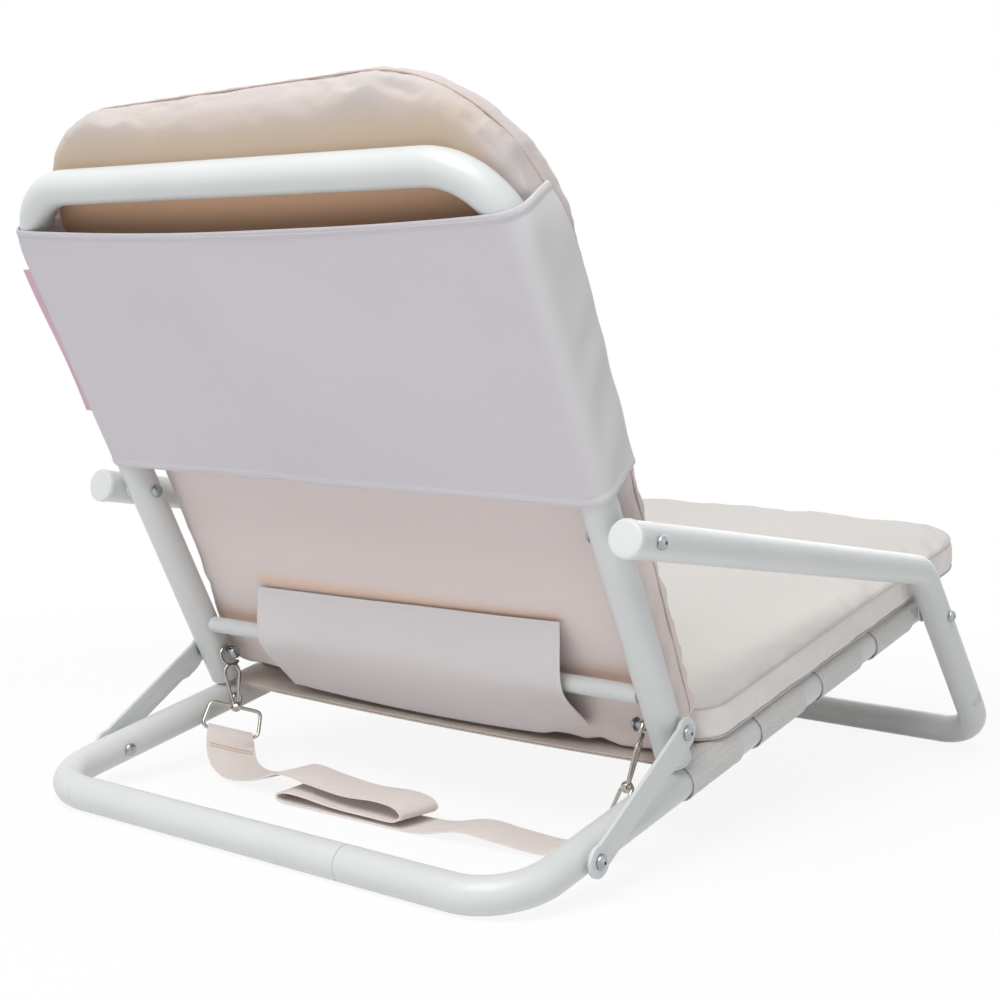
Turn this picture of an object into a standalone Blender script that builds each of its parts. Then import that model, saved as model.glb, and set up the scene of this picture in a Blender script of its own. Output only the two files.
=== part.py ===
# Low folding chair: bent-tube base, arm and back frames, slung seat, padded cover and carry strap.
# Side views are drawn as (u, z): u runs forward from the rear floor tube, z runs up. The front faces -Y.
import math

import bmesh
import bpy
from mathutils import Matrix, Vector

# Tubes (metres, degrees)
TUBE_OD = 0.025
TUBE_WALL = 0.0012
TUBE_SIDES = 12
BEND_STEP = 11.0
FIT_GAP = 0.0003
RUN_GAP = 0.0003

# Base frame: rear floor tube and the two seat rails
RAIL_SPACING = 0.443
RAIL_SLOPE = 12.2
BASE_BEND_RADIUS = 0.045
BASE_JOINT_X = -0.0865
BASE_JOINT_GAP = 0.0004
SPIGOT_LENGTH = 0.09
SPIGOT_WALL = 0.0015
RAIL_PAST_PIVOT = 0.016
PLUG_FLANGE = 0.002
PLUG_DEPTH = 0.009

# Arm and front leg frame
ARM_STANDOFF = 0.0022
FRONT_PIVOT_ALONG_RAIL = 0.575
LEG_SLOPE = 47.8
ARM_CORNER_FROM_PIVOT = 0.056
ARM_SLOPE = 7.4
ARM_LENGTH = 0.4515
ARM_BEND_RADIUS = 0.032
FOOT_BEND_RADIUS = 0.036
BACK_PIVOT_FROM_ARM_END = 0.0195
CAP_RIM = 0.0005
CAP_THICKNESS = 0.004

# Fold links
LINK_PIVOT_ALONG_RAIL = 0.073
LINK_LENGTH = 0.1206
LINK_RISE = 33.2
LINK_THICKNESS = 0.003
LINK_WIDTH = 0.0185
LINK_END_RADIUS = 0.0112
LINK_LUG_HEIGHT = 0.0022
LINK_LUG_START = 0.014
LINK_LUG_END = 0.026
LINK_LUG_FOOT = 0.032
WASHER_THICKNESS = 0.0015
WASHER_OD = 0.015

# Back frame
BACK_LENGTH = 0.4137
BACK_BEND_RADIUS = 0.056
UPRIGHT_REST_GAP = 0.0004
CROSSBAR_OD = 0.013
CROSSBAR_ABOVE_LINK = 0.0275

# Bolts
BOLT_OD = 0.006
BOLT_HEAD_OD = 0.0102
BOLT_HEAD_HEIGHT = 0.0034
BOLT_SIDES = 10

# Seat sling bands and cushion
BAND_COUNT = 4
BAND_WIDTH = 0.0680
BAND_PITCH = 0.0975
BAND_FRONT_FROM_PIVOT = 0.0196
BAND_CLOTH = 0.0011
BAND_WEB = 0.0022
BAND_WEB_STEPS = 8
BAND_WEB_FACET = 2   # facets of the sleeve up from its inner side
BAND_SCREW_BEHIND = 0.0065
SEAT_CUSHION_FRONT = 0.700
SEAT_CUSHION_PAST_RAIL = 0.0100
SEAT_CUSHION_SIDE = 0.026
SEAT_CUSHION_CROWN = 0.010
SEAT_FRONT_CORNER = 0.062
SEAT_REAR_CORNER = 0.022

# Back cushion, rear sleeve panel, low flap and side tag
BACK_CUSHION_BOTTOM = -0.026
BACK_CUSHION_TOP = 0.4645
BACK_CUSHION_PAST_RAIL = 0.0060
BACK_CUSHION_ASKEW = 1.8
BACK_CUSHION_ASKEW_FROM = 0.027
BACK_CUSHION_SIDE = 0.025
BACK_CUSHION_CROWN = 0.006
BACK_TOP_CORNER_LEFT = 0.090
BACK_TOP_CORNER_RIGHT = 0.127
BACK_BOTTOM_CORNER = 0.024
CUSHION_DRAW_IN = 0.0035
CUSHION_EDGE = 0.0045
CUSHION_ROUND = 44
CUSHION_RINGS = (0.965, 0.86, 0.70, 0.50, 0.27)
PANEL_CLOTH = 0.0010
PANEL_TOP_BELOW_TUBE = 0.026
PANEL_ABOVE_PIVOT = 0.0308
PANEL_SAG = 0.006
PANEL_AHEAD = 0.034
PANEL_SIDE_LIFT = 0.003
PANEL_BEND_EASE = 0.0010
PANEL_EASE_SLOPE = 0.06
PANEL_ROWS = 8
PANEL_ROW_CROWDING = 1.7
PANEL_ACROSS = 10
FLAP_CLOTH = 0.0012
FLAP_LEFT = 0.145
FLAP_RIGHT = -0.1515
FLAP_ABOVE_BAR = 0.0440
FLAP_BELOW_BAR = 0.0465
FLAP_SEAM = 0.008
FLAP_ACROSS = 2
FLAP_WRAP = 4
TAG_WIDTH = 0.0142
TAG_CLOTH = 0.0008
TAG_BOTTOM = 0.229
TAG_TOP = 0.351

# Carry strap, its hooks and loops, drawn for the left side; the right side mirrors them
HOOK_WIRE = 0.0028
HOOK_RING_RADIUS = 0.0082
HOOK_RING_OPEN = 34.0
HOOK_REACH = 0.043
HOOK_BAIL_HALF_WIDTH = 0.0066
HOOK_BAIL_FOOT = 0.0018
HOOK_BALL_OD = 0.0090
HOOK_LEAN_IN = 0.010
HOOK_LEAN_BACK = 0.002
HOOK_TURN = 20.0
GATE_WIRE = 0.0022
LOOP_TURN = 43.9
LOOP_TILT = 14.0
LOOP_WIRE = 0.0030
LOOP_TOP_WIDTH = 0.042
LOOP_BASE_WIDTH = 0.047
LOOP_HEIGHT = 0.0217
LOOP_LEAN_IN = 0.0050
LOOP_LEAN_BACK = 0.0076
LOOP_CORNER = 0.0045
WIRE_SIDES = 8
STRAP_WIDTH = 0.040
STRAP_CLOTH = 0.0016
STRAP_LOOP_GAP = 0.0007
STRAP_STEPS = 4
# Strap route, stitch to stitch: share of the loop's distance from the mid plane, then distance behind
# the loop and height in strap widths, then the turn of the width in degrees
STRAP_ROUTE = (
    (0.971, 0.105, 0.45, 36), (0.902, 0.2675, 0.1875, 26), (0.785, 0.405, 0.1, 14),
    (0.610, 0.5425, 0.2625, 5), (0.467, 0.6175, 0.5125, 2), (0.292, 0.6675, 0.4625, 1),
    (0.106, 0.705, 0.4125, 2), (-0.064, 0.73, 0.4625, 3), (-0.164, 0.7425, 0.43, 3),
    (-0.204, 0.7475, 0.295, 3), (-0.164, 0.755, 0.165, 3), (-0.042, 0.7675, 0.16, 1),
    (0.159, 0.78, 0.175, -4), (0.329, 0.7925, 0.24, -8), (0.424, 0.7925, 0.23, -9),
    (0.462, 0.7925, 0.135, -9), (0.424, 0.7925, 0.04, -8), (0.265, 0.78, 0.04, -4),
    (0.000, 0.755, 0.04, 0), (-0.265, 0.705, 0.05, 0), (-0.456, 0.63, 0.225, -3),
    (-0.610, 0.5175, 0.1625, -8), (-0.785, 0.405, 0.1, -14), (-0.902, 0.2675, 0.1875, -26),
    (-0.971, 0.105, 0.45, -36),
)

# Colour (linear), roughness and metallic value of each finish
FINISHES = {
    "white_paint": ((0.78, 0.79, 0.76), 0.38, 0.0),
    "white_plastic": ((0.80, 0.81, 0.79), 0.45, 0.0),
    "zinc": ((0.62, 0.64, 0.66), 0.28, 1.0),
    "nickel": ((0.66, 0.62, 0.57), 0.22, 1.0),
    "mesh_cloth": ((0.50, 0.48, 0.45), 0.85, 0.0),
    "cover_cloth": ((0.76, 0.68, 0.63), 0.80, 0.0),
    "strap_cloth": ((0.78, 0.66, 0.60), 0.85, 0.0),
    "tag_cloth": ((0.72, 0.50, 0.56), 0.80, 0.0),
}

# Worked-out sizes
TUBE_R = TUBE_OD / 2
BORE_R = TUBE_R - TUBE_WALL
CORNER_R = TUBE_R / math.cos(math.pi / TUBE_SIDES)
BOLT_R = BOLT_OD / 2
HOLE_R = BOLT_R + RUN_GAP
HEAD_R = BOLT_HEAD_OD / 2
RAIL_X = RAIL_SPACING / 2
ARM_X = RAIL_X + TUBE_OD + ARM_STANDOFF
SEAT_CUSHION_HALF_WIDTH = RAIL_X + SEAT_CUSHION_PAST_RAIL
BACK_CUSHION_HALF_WIDTH = RAIL_X + BACK_CUSHION_PAST_RAIL
PAD_ASKEW = math.tan(math.radians(BACK_CUSHION_ASKEW))
OUTER_FACE = RAIL_X + TUBE_R
INNER_FACE = RAIL_X - TUBE_R
LINK_INNER = OUTER_FACE + WASHER_THICKNESS + 2 * FIT_GAP
LINK_OUTER = LINK_INNER + LINK_THICKNESS


def direction(degrees):
    return Vector((math.cos(math.radians(degrees)), math.sin(math.radians(degrees))))


# Side-view points of the frame, from the rear floor tube's axis
REAR_AXIS = Vector((0.0, TUBE_R))
RAIL_DIR = direction(RAIL_SLOPE)
RAIL_UP = direction(RAIL_SLOPE + 90)
LINK_FOOT = REAR_AXIS + RAIL_DIR * LINK_PIVOT_ALONG_RAIL
FRONT_PIVOT = REAR_AXIS + RAIL_DIR * FRONT_PIVOT_ALONG_RAIL
LEG_DIR = direction(-LEG_SLOPE)
ARM_CORNER = FRONT_PIVOT - LEG_DIR * ARM_CORNER_FROM_PIVOT
FOOT = FRONT_PIVOT - LEG_DIR * ((FRONT_PIVOT.y - TUBE_R) / LEG_DIR.y)
ARM_DIR = direction(180 - ARM_SLOPE)
ARM_END = ARM_CORNER + ARM_DIR * ARM_LENGTH
BACK_PIVOT = ARM_END - ARM_DIR * BACK_PIVOT_FROM_ARM_END
LINK_HEAD = LINK_FOOT + direction(LINK_RISE) * LINK_LENGTH
BACK_DIR = (BACK_PIVOT - LINK_HEAD).normalized()
BACK_FRONT = Vector((BACK_DIR.y, -BACK_DIR.x))
PIVOT_ALONG_BACK = (BACK_PIVOT - LINK_HEAD).length


def spot(x, side_point):
    return Vector((x, -side_point.x, side_point.y))


def seat_spot(x, along, above):
    return spot(x, REAR_AXIS + RAIL_DIR * along + RAIL_UP * above)


def back_spot(x, along, ahead):
    return spot(x, LINK_HEAD + BACK_DIR * along + BACK_FRONT * ahead)


# Scene, bodies and materials
def clear_scene():
    for old in list(bpy.data.objects):
        bpy.data.objects.remove(old, do_unlink=True)


def add_empty(name, place, parent=None):
    empty = bpy.data.objects.new(name, None)
    empty.empty_display_size = 0.03
    empty.location = place
    if parent:
        empty.parent = parent
        empty.location = place - world_place(parent)
    bpy.context.collection.objects.link(empty)
    return empty


def world_place(empty):
    place = Vector(empty.location)
    while empty.parent:
        empty = empty.parent
        place += empty.location
    return place


def finish(name):
    material = bpy.data.materials.get(name)
    if material is None:
        colour, roughness, metallic = FINISHES[name]
        material = bpy.data.materials.new(name)
        material.use_nodes = True
        shader = material.node_tree.nodes["Principled BSDF"]
        shader.inputs["Base Color"].default_value = (*colour, 1.0)
        shader.inputs["Roughness"].default_value = roughness
        shader.inputs["Metallic"].default_value = metallic
    return material


def add_piece(name, shape, body, finish_name):
    verts, faces = shape
    origin = world_place(body)
    mesh = bpy.data.meshes.new(name)
    mesh.from_pydata([Vector(v) - origin for v in verts], [], faces)
    work = bmesh.new()
    work.from_mesh(mesh)
    bmesh.ops.recalc_face_normals(work, faces=work.faces)
    work.to_mesh(mesh)
    work.free()
    mesh.materials.append(finish(finish_name))
    mesh.shade_smooth()
    mesh.set_sharp_from_angle(angle=math.radians(40))
    piece = bpy.data.objects.new(name, mesh)
    piece.parent = body
    bpy.context.collection.objects.link(piece)
    return piece


def combine(piece, shape, operation):
    tool = add_piece(piece.name + "_tool" + str(len(piece.modifiers)), shape, piece.parent, "zinc")
    tool.hide_render = True
    tool.display_type = "WIRE"
    change = piece.modifiers.new(tool.name, "BOOLEAN")
    change.operation = operation
    change.solver = "EXACT"
    change.object = tool


def mirrored(shape):
    verts, faces = shape
    return [Vector((-v.x, v.y, v.z)) for v in verts], [tuple(reversed(f)) for f in faces]


def joined(shapes):
    verts = []
    faces = []
    for more_verts, more_faces in shapes:
        start = len(verts)
        verts += more_verts
        faces += [tuple(i + start for i in face) for face in more_faces]
    return verts, faces


def on_side(shape, side):
    return shape if side == "left" else mirrored(shape)


# Shapes
def bend(points, radius, step=BEND_STEP):
    path = [points[0]]
    for before, corner, after in zip(points, points[1:], points[2:]):
        back = (before - corner).normalized()
        ahead = (after - corner).normalized()
        turn = math.pi - back.angle(ahead)
        run = radius * math.tan(turn / 2)
        centre = corner + (back + ahead).normalized() * (radius / math.cos(turn / 2))
        arm = corner + back * run - centre
        axis = back.cross(ahead).normalized() * -1
        count = max(2, round(math.degrees(turn) / step))
        path += [centre + Matrix.Rotation(turn * k / count, 3, axis) @ arm for k in range(count + 1)]
    path.append(points[-1])
    return path


def ring_frames(path, up, closed, twists):
    count = len(path)
    frames = []
    for k, point in enumerate(path):
        before = path[k - 1] if k or closed else point
        after = path[(k + 1) % count] if k + 1 < count or closed else point
        tangent = ((after - point).normalized() + (point - before).normalized()).normalized()
        up = (up - tangent * up.dot(tangent)).normalized()
        upward = Matrix.Rotation(math.radians(twists[k] if twists else 0.0), 3, tangent) @ up
        frames.append((point, upward, tangent.cross(upward)))
    return frames


def rings_of(path, up, radius, sides, closed=False, twists=()):
    rings = []
    reach = radius / math.cos(math.pi / sides)
    for point, upward, across in ring_frames(path, up, closed, twists):
        turns = [2 * math.pi * (k + 0.5) / sides for k in range(sides)]
        rings.append([point + (upward * math.cos(t) + across * math.sin(t)) * reach for t in turns])
    return rings


def skin(rings, closed=False):
    sides = len(rings[0])
    verts = [v for ring in rings for v in ring]
    faces = []
    spans = len(rings) if closed else len(rings) - 1
    for k in range(spans):
        low = k * sides
        high = ((k + 1) % len(rings)) * sides
        for j in range(sides):
            nxt = (j + 1) % sides
            faces.append((low + j, low + nxt, high + nxt, high + j))
    return verts, faces


def rod(path, up, radius, sides=WIRE_SIDES, closed=False):
    verts, faces = skin(rings_of(path, up, radius, sides, closed), closed)
    if not closed:
        faces.append(tuple(range(sides)))
        faces.append(tuple(range(len(verts) - sides, len(verts))))
    return verts, faces


def tube(outer, inner):
    sides = len(outer[0])
    verts, faces = joined([skin(outer), skin(inner)])
    half = len(verts) // 2
    for first in (0, half - sides):
        for j in range(sides):
            nxt = (j + 1) % sides
            faces.append((first + j, first + nxt, first + nxt + half, first + j + half))
    return verts, faces


def plain_tube(path, up, outer_r, inner_r, twists=()):
    return tube(*[rings_of(path, up, r, TUBE_SIDES, False, twists) for r in (outer_r, inner_r)])


def facet_twists(path, bend_rings, slope):
    facet = 360 / TUBE_SIDES
    twist = facet * round(slope / facet) - slope
    return [twist * min(1.0, max(0, k - 1) / bend_rings) for k in range(len(path))]


def mirrored_tube(half_path, up, outer_r, inner_r, twists=()):
    skins = []
    for radius in (outer_r, inner_r):
        rings = rings_of(half_path, up, radius, TUBE_SIDES, False, twists)
        other = [[Vector((-v.x, v.y, v.z)) for v in ring] for ring in reversed(rings[1:])]
        skins.append(other + rings)
    return tube(*skins)


def turned(profile, start, axis, sides=BOLT_SIDES, facing=None):
    axis = axis.normalized()
    across = (facing or axis.orthogonal()).normalized()
    beside = axis.cross(across)
    verts = []
    faces = []
    rows = []
    for along, radius in profile:
        centre = start + axis * along
        if radius == 0:
            rows.append([len(verts)])
            verts.append(centre)
            continue
        reach = radius / math.cos(math.pi / sides)
        rows.append(list(range(len(verts), len(verts) + sides)))
        for k in range(sides):
            t = 2 * math.pi * (k + 0.5) / sides
            verts.append(centre + (across * math.cos(t) + beside * math.sin(t)) * reach)
    for low, high in zip(rows, rows[1:]):
        for j in range(sides):
            nxt = (j + 1) % sides
            if len(low) == 1:
                faces.append((low[0], high[nxt], high[j]))
            elif len(high) == 1:
                faces.append((low[j], low[nxt], high[0]))
            else:
                faces.append((low[j], low[nxt], high[nxt], high[j]))
    return verts, faces


def dome(height, radius):
    return [(height * math.sin(math.radians(t)), radius * math.cos(math.radians(t))) for t in (0, 35, 62)]


def bolt(x_out, x_in, place, out_head=True, in_head=True, collars=()):
    profile = []
    if out_head:
        head = [(-h, r) for h, r in dome(BOLT_HEAD_HEIGHT, HEAD_R)]
        profile = [(-BOLT_HEAD_HEIGHT, 0.0), *reversed(head), (0.0, BOLT_R)]
    else:
        profile = [(0.0, 0.0), (0.0, BOLT_R)]
    length = x_out - x_in
    for begin, end, radius in collars:
        profile += [(x_out - begin, BOLT_R), (x_out - begin, radius)]
        profile += [(x_out - end, radius), (x_out - end, BOLT_R)]
    if in_head:
        profile += [(length, BOLT_R)]
        profile += [(length + h, r) for h, r in dome(BOLT_HEAD_HEIGHT, HEAD_R)]
        profile += [(length + BOLT_HEAD_HEIGHT, 0.0)]
    else:
        profile += [(length, BOLT_R), (length, 0.0)]
    trimmed = [profile[0]]
    for row in profile[1:]:
        if row != trimmed[-1]:
            trimmed.append(row)
    return turned(trimmed, spot(x_out, place), Vector((-1, 0, 0)))


def drill(x_out, x_in, place):
    length = x_out - x_in
    profile = [(0.0, 0.0), (0.0, HOLE_R), (length, HOLE_R), (length, 0.0)]
    return turned(profile, spot(x_out, place), Vector((-1, 0, 0)))


def disc(x_in, thickness, outer_r, inner_r, place):
    rings = []
    x_out = x_in + thickness
    for radius, x in ((outer_r, x_in), (outer_r, x_out), (inner_r, x_out), (inner_r, x_in)):
        turns = [2 * math.pi * k / TUBE_SIDES for k in range(TUBE_SIDES)]
        rings.append([spot(x, place + Vector((math.cos(t), math.sin(t))) * radius) for t in turns])
    return skin(rings, closed=True)


def slab(outline, x_in, x_out):
    count = len(outline)
    verts = [spot(x_in, p) for p in outline] + [spot(x_out, p) for p in outline]
    faces = [tuple(range(count)), tuple(range(2 * count - 1, count - 1, -1))]
    for j in range(count):
        nxt = (j + 1) % count
        faces.append((j, nxt, nxt + count, j + count))
    return verts, faces


def arc(centre, radius, begin, end, count):
    turns = [begin + (end - begin) * k / count for k in range(count + 1)]
    return [centre + direction(t) * radius for t in turns]


def sheet(front_rows, back_rows):
    rows = len(front_rows)
    cols = len(front_rows[0])
    verts = [v for row in front_rows for v in row] + [v for row in back_rows for v in row]
    half = rows * cols
    faces = []
    for i in range(rows - 1):
        for j in range(cols - 1):
            a = i * cols + j
            faces.append((a, a + 1, a + cols + 1, a + cols))
            faces.append((half + a, half + a + cols, half + a + cols + 1, half + a + 1))
    edge = [j for j in range(cols)] + [i * cols + cols - 1 for i in range(1, rows)]
    edge += [(rows - 1) * cols + j for j in range(cols - 2, -1, -1)]
    edge += [i * cols for i in range(rows - 2, 0, -1)]
    for a, b in zip(edge, edge[1:] + edge[:1]):
        faces.append((a, half + a, half + b, b))
    return verts, faces


def rounded_outline(half_width, low, high, low_corner, left_corner, right_corner, count):
    quarter = count // 4
    points = []
    for centre, radius, begin in (
        (Vector((half_width - left_corner, high - left_corner)), left_corner, 0),
        (Vector((right_corner - half_width, high - right_corner)), right_corner, 90),
        (Vector((low_corner - half_width, low + low_corner)), low_corner, 180),
        (Vector((half_width - low_corner, low + low_corner)), low_corner, 270),
    ):
        points += arc(centre, radius, begin, begin + 90, quarter // 2)
    return spread(points, count)


def spread(points, count):
    loop = points + points[:1]
    gaps = [(b - a).length for a, b in zip(loop, loop[1:])]
    total = sum(gaps)
    result = []
    for k in range(count):
        left = total * k / count
        j = 0
        while left > gaps[j]:
            left -= gaps[j]
            j += 1
        result.append(loop[j].lerp(loop[j + 1], left / gaps[j] if gaps[j] else 0.0))
    return result


def cushion(outline, place, low, side, crown):
    middle = sum(outline, Vector((0.0, 0.0))) / len(outline)
    half_x = max(abs(p.x) for p in outline)
    half_y = max(abs(p.y - middle.y) for p in outline)

    def drawn(p):
        toward = p - middle
        pull_x = CUSHION_DRAW_IN * max(0.0, 1 - (toward.y / half_y) ** 2) * toward.x / half_x
        pull_y = CUSHION_DRAW_IN * max(0.0, 1 - (toward.x / half_x) ** 2) * toward.y / half_y
        return p - Vector((pull_x, pull_y))

    edge = [drawn(p) for p in outline]
    inner = [p + (middle - p).normalized() * CUSHION_EDGE for p in edge]
    high = low + side
    levels = [(inner, low), (edge, low + CUSHION_EDGE), (edge, high - CUSHION_EDGE), (inner, high)]
    for share in CUSHION_RINGS:
        rise = crown * (1 - share ** 3)
        levels.append(([middle + (p - middle) * share for p in inner], high + rise))
    under = [([middle + (p - middle) * share for p in inner], low) for share in CUSHION_RINGS]
    levels = list(reversed(under)) + levels
    rings = [[place(p.x, p.y, height) for p in ring] for ring, height in levels]
    verts, faces = skin(rings)
    count = len(outline)
    verts += [place(middle.x, middle.y, low), place(middle.x, middle.y, high + crown)]
    last = len(verts) - 2 - count
    for j in range(count):
        nxt = (j + 1) % count
        faces.append((len(verts) - 2, nxt, j))
        faces.append((len(verts) - 1, last + j, last + nxt))
    return verts, faces


# Base frame: two bent halves joined by a spigot in the rear floor tube, with plugged rail ends
def build_base(body):
    rail_end = FRONT_PIVOT_ALONG_RAIL + RAIL_PAST_PIVOT
    corner = spot(RAIL_X, REAR_AXIS)
    out, inside = OUTER_FACE + TUBE_R, INNER_FACE - TUBE_R
    holes = joined([drill(out, inside, p) for p in (LINK_FOOT, FRONT_PIVOT, BAND_SCREW)])
    plug_start = rail_end + FIT_GAP
    plug = turned(
        [(PLUG_FLANGE, 0.0), (PLUG_FLANGE, TUBE_R - CAP_RIM), (0.0, TUBE_R), (0.0, BORE_R - FIT_GAP),
         (-PLUG_DEPTH, BORE_R - FIT_GAP), (-PLUG_DEPTH, 0.0)],
        seat_spot(RAIL_X, plug_start, 0), RAIL_DIR_3D, TUBE_SIDES, SIDEWAYS)
    for side, joint in (("left", BASE_JOINT_X), ("right", -BASE_JOINT_X)):
        start = spot(joint + BASE_JOINT_GAP / 2, REAR_AXIS)
        path = bend([start, corner, seat_spot(RAIL_X, rail_end, 0)], BASE_BEND_RADIUS)
        half = plain_tube(path, UPWARD, TUBE_R, BORE_R, facet_twists(path, len(path) - 3, RAIL_SLOPE))
        rail = add_piece("base_tube_" + side, on_side(half, side), body, "white_paint")
        combine(rail, on_side(holes, side), "DIFFERENCE")
        add_piece("rail_plug_" + side, on_side(plug, side), body, "white_plastic")
        screw = bolt(OUTER_FACE - TUBE_WALL - FIT_GAP, INNER_FACE - FIT_GAP, BAND_SCREW, out_head=False)
        add_piece("band_screw_" + side, on_side(screw, side), body, "zinc")
    reach = SPIGOT_LENGTH / 2
    spigot_r = BORE_R - FIT_GAP
    ends = [spot(BASE_JOINT_X + step, REAR_AXIS) for step in (-reach, reach)]
    spigot = plain_tube(ends, UPWARD, spigot_r, spigot_r - SPIGOT_WALL)
    add_piece("base_spigot", spigot, body, "zinc")


# Seat sling: mesh bands sewn round both rails
def build_bands(body):
    inner_r = TUBE_R + FIT_GAP
    outer_r = inner_r + BAND_CLOTH
    for index in range(BAND_COUNT):
        front = BAND_FRONT_END - index * BAND_PITCH
        add_piece("seat_band_%d" % (index + 1), band_shape(front - BAND_WIDTH, front, inner_r, outer_r),
                  body, "mesh_cloth")


def band_shape(rear, front, inner_r, outer_r):
    verts = []
    faces = []
    turns = [2 * math.pi * (k + 0.5) / TUBE_SIDES for k in range(TUBE_SIDES)]
    index = {}
    for end, along in (("rear", rear), ("front", front)):
        for side, sign in (("left", 1), ("right", -1)):
            for wall, radius in (("in", inner_r), ("out", outer_r)):
                reach = radius / math.cos(math.pi / TUBE_SIDES)
                for k, t in enumerate(turns):
                    index[end, side, wall, k] = len(verts)
                    x = sign * (RAIL_X - reach * math.cos(t))
                    verts.append(seat_spot(x, along, reach * math.sin(t)))
        web_turn = 2 * math.pi * BAND_WEB_FACET / TUBE_SIDES
        first, level = RAIL_X - outer_r * math.cos(web_turn), outer_r * math.sin(web_turn)
        half_joint = outer_r * math.tan(math.pi / TUBE_SIDES) * math.cos(web_turn)
        for step in range(1, BAND_WEB_STEPS):
            share = step / BAND_WEB_STEPS
            x = first * (1 - 2 * share)
            thin = min(1.0, 4 * min(share, 1 - share))
            half = half_joint + (BAND_WEB / 2 - half_joint) * thin
            for face, sign in (("top", 1), ("under", -1)):
                index[end, "web", face, step] = len(verts)
                verts.append(seat_spot(x, along, level + sign * half))
        top, under = BAND_WEB_FACET, BAND_WEB_FACET - 1
        for side, step in (("left", 0), ("right", BAND_WEB_STEPS)):
            index[end, "web", "top", step] = index[end, side, "out", top]
            index[end, "web", "under", step] = index[end, side, "out", under]
    for side in ("left", "right"):
        for k in range(TUBE_SIDES):
            nxt = (k + 1) % TUBE_SIDES
            for end in ("rear", "front"):
                faces.append((index[end, side, "in", k], index[end, side, "in", nxt],
                              index[end, side, "out", nxt], index[end, side, "out", k]))
            faces.append((index["rear", side, "in", k], index["front", side, "in", k],
                          index["front", side, "in", nxt], index["rear", side, "in", nxt]))
            if k != BAND_WEB_FACET - 1:
                faces.append((index["rear", side, "out", k], index["rear", side, "out", nxt],
                              index["front", side, "out", nxt], index["front", side, "out", k]))
    for step in range(BAND_WEB_STEPS):
        for face in ("top", "under"):
            faces.append((index["rear", "web", face, step], index["front", "web", face, step],
                          index["front", "web", face, step + 1], index["rear", "web", face, step + 1]))
        for end in ("rear", "front"):
            faces.append((index[end, "web", "top", step], index[end, "web", "top", step + 1],
                          index[end, "web", "under", step + 1], index[end, "web", "under", step]))
    return verts, faces


# Seat cushion: a crowned pad lying on the sleeves of the bands, up to the back cushion
def build_seat_cushion(body):
    under = TUBE_R + 2 * FIT_GAP + BAND_CLOTH + CORNER_R - TUBE_R
    outline = rounded_outline(SEAT_CUSHION_HALF_WIDTH, SEAT_CUSHION_REAR, SEAT_CUSHION_FRONT,
                              SEAT_REAR_CORNER, SEAT_FRONT_CORNER, SEAT_FRONT_CORNER, CUSHION_ROUND)
    shape = cushion(outline, seat_spot, under, SEAT_CUSHION_SIDE, SEAT_CUSHION_CROWN)
    add_piece("seat_cushion", shape, body, "cover_cloth")


# Arm and front leg frame: one tube from arm end to arm end, standing on its front cross tube
def build_arms(body):
    half = [spot(0, FOOT), spot(ARM_X, FOOT), spot(ARM_X, ARM_CORNER), spot(ARM_X, ARM_END)]
    lower = bend(half[:2] + [half[1].lerp(half[2], 0.5)], FOOT_BEND_RADIUS)
    upper = bend([half[1].lerp(half[2], 0.5)] + half[2:], ARM_BEND_RADIUS)
    path = lower[:-1] + upper[1:]
    twists = facet_twists(path, len(lower) - 3, 180 - LEG_SLOPE)
    shape = mirrored_tube(path, UPWARD, TUBE_R, BORE_R, twists)
    frame = add_piece("arm_tube", shape, body, "white_paint")
    out, inside = ARM_X + TUBE_OD, OUTER_FACE
    holes = joined([drill(out, inside, p) for p in (BACK_PIVOT, FRONT_PIVOT)])
    combine(frame, joined([holes, mirrored(holes)]), "DIFFERENCE")
    arm_back = Vector((0, -ARM_DIR.x, ARM_DIR.y))
    cap = turned(
        [(CAP_THICKNESS, 0.0), (CAP_THICKNESS, TUBE_R - 2 * CAP_RIM),
         (CAP_THICKNESS - 2 * CAP_RIM, TUBE_R + CAP_RIM), (0.0, TUBE_R + CAP_RIM),
         (0.0, BORE_R - FIT_GAP), (-CAP_PLUG, BORE_R - FIT_GAP), (-CAP_PLUG, 0.0)],
        spot(ARM_X, ARM_END) + arm_back * FIT_GAP, arm_back, TUBE_SIDES, SIDEWAYS)
    arm_out, arm_in = ARM_X + TUBE_R + FIT_GAP, ARM_X - TUBE_R + FIT_GAP
    outer_bolt = bolt(arm_out, arm_in, BACK_PIVOT, in_head=False)
    leg_bolt = bolt(arm_out, INNER_FACE - FIT_GAP, FRONT_PIVOT)
    gap_disc = ARM_STANDOFF - 2 * FIT_GAP
    washer = disc(OUTER_FACE + FIT_GAP, gap_disc, WASHER_OD / 2, HOLE_R, FRONT_PIVOT)
    arm_washer = disc(OUTER_FACE + FIT_GAP, gap_disc, WASHER_OD / 2, BOLT_R, BACK_PIVOT)
    for side in ("left", "right"):
        add_piece("arm_cap_" + side, on_side(cap, side), body, "white_plastic")
        add_piece("arm_bolt_" + side, on_side(outer_bolt, side), body, "zinc")
        add_piece("leg_pivot_bolt_" + side, on_side(leg_bolt, side), body, "zinc")
        add_piece("leg_washer_" + side, on_side(washer, side), body, "white_plastic")
        add_piece("arm_washer_" + side, on_side(arm_washer, side), body, "white_plastic")


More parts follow.
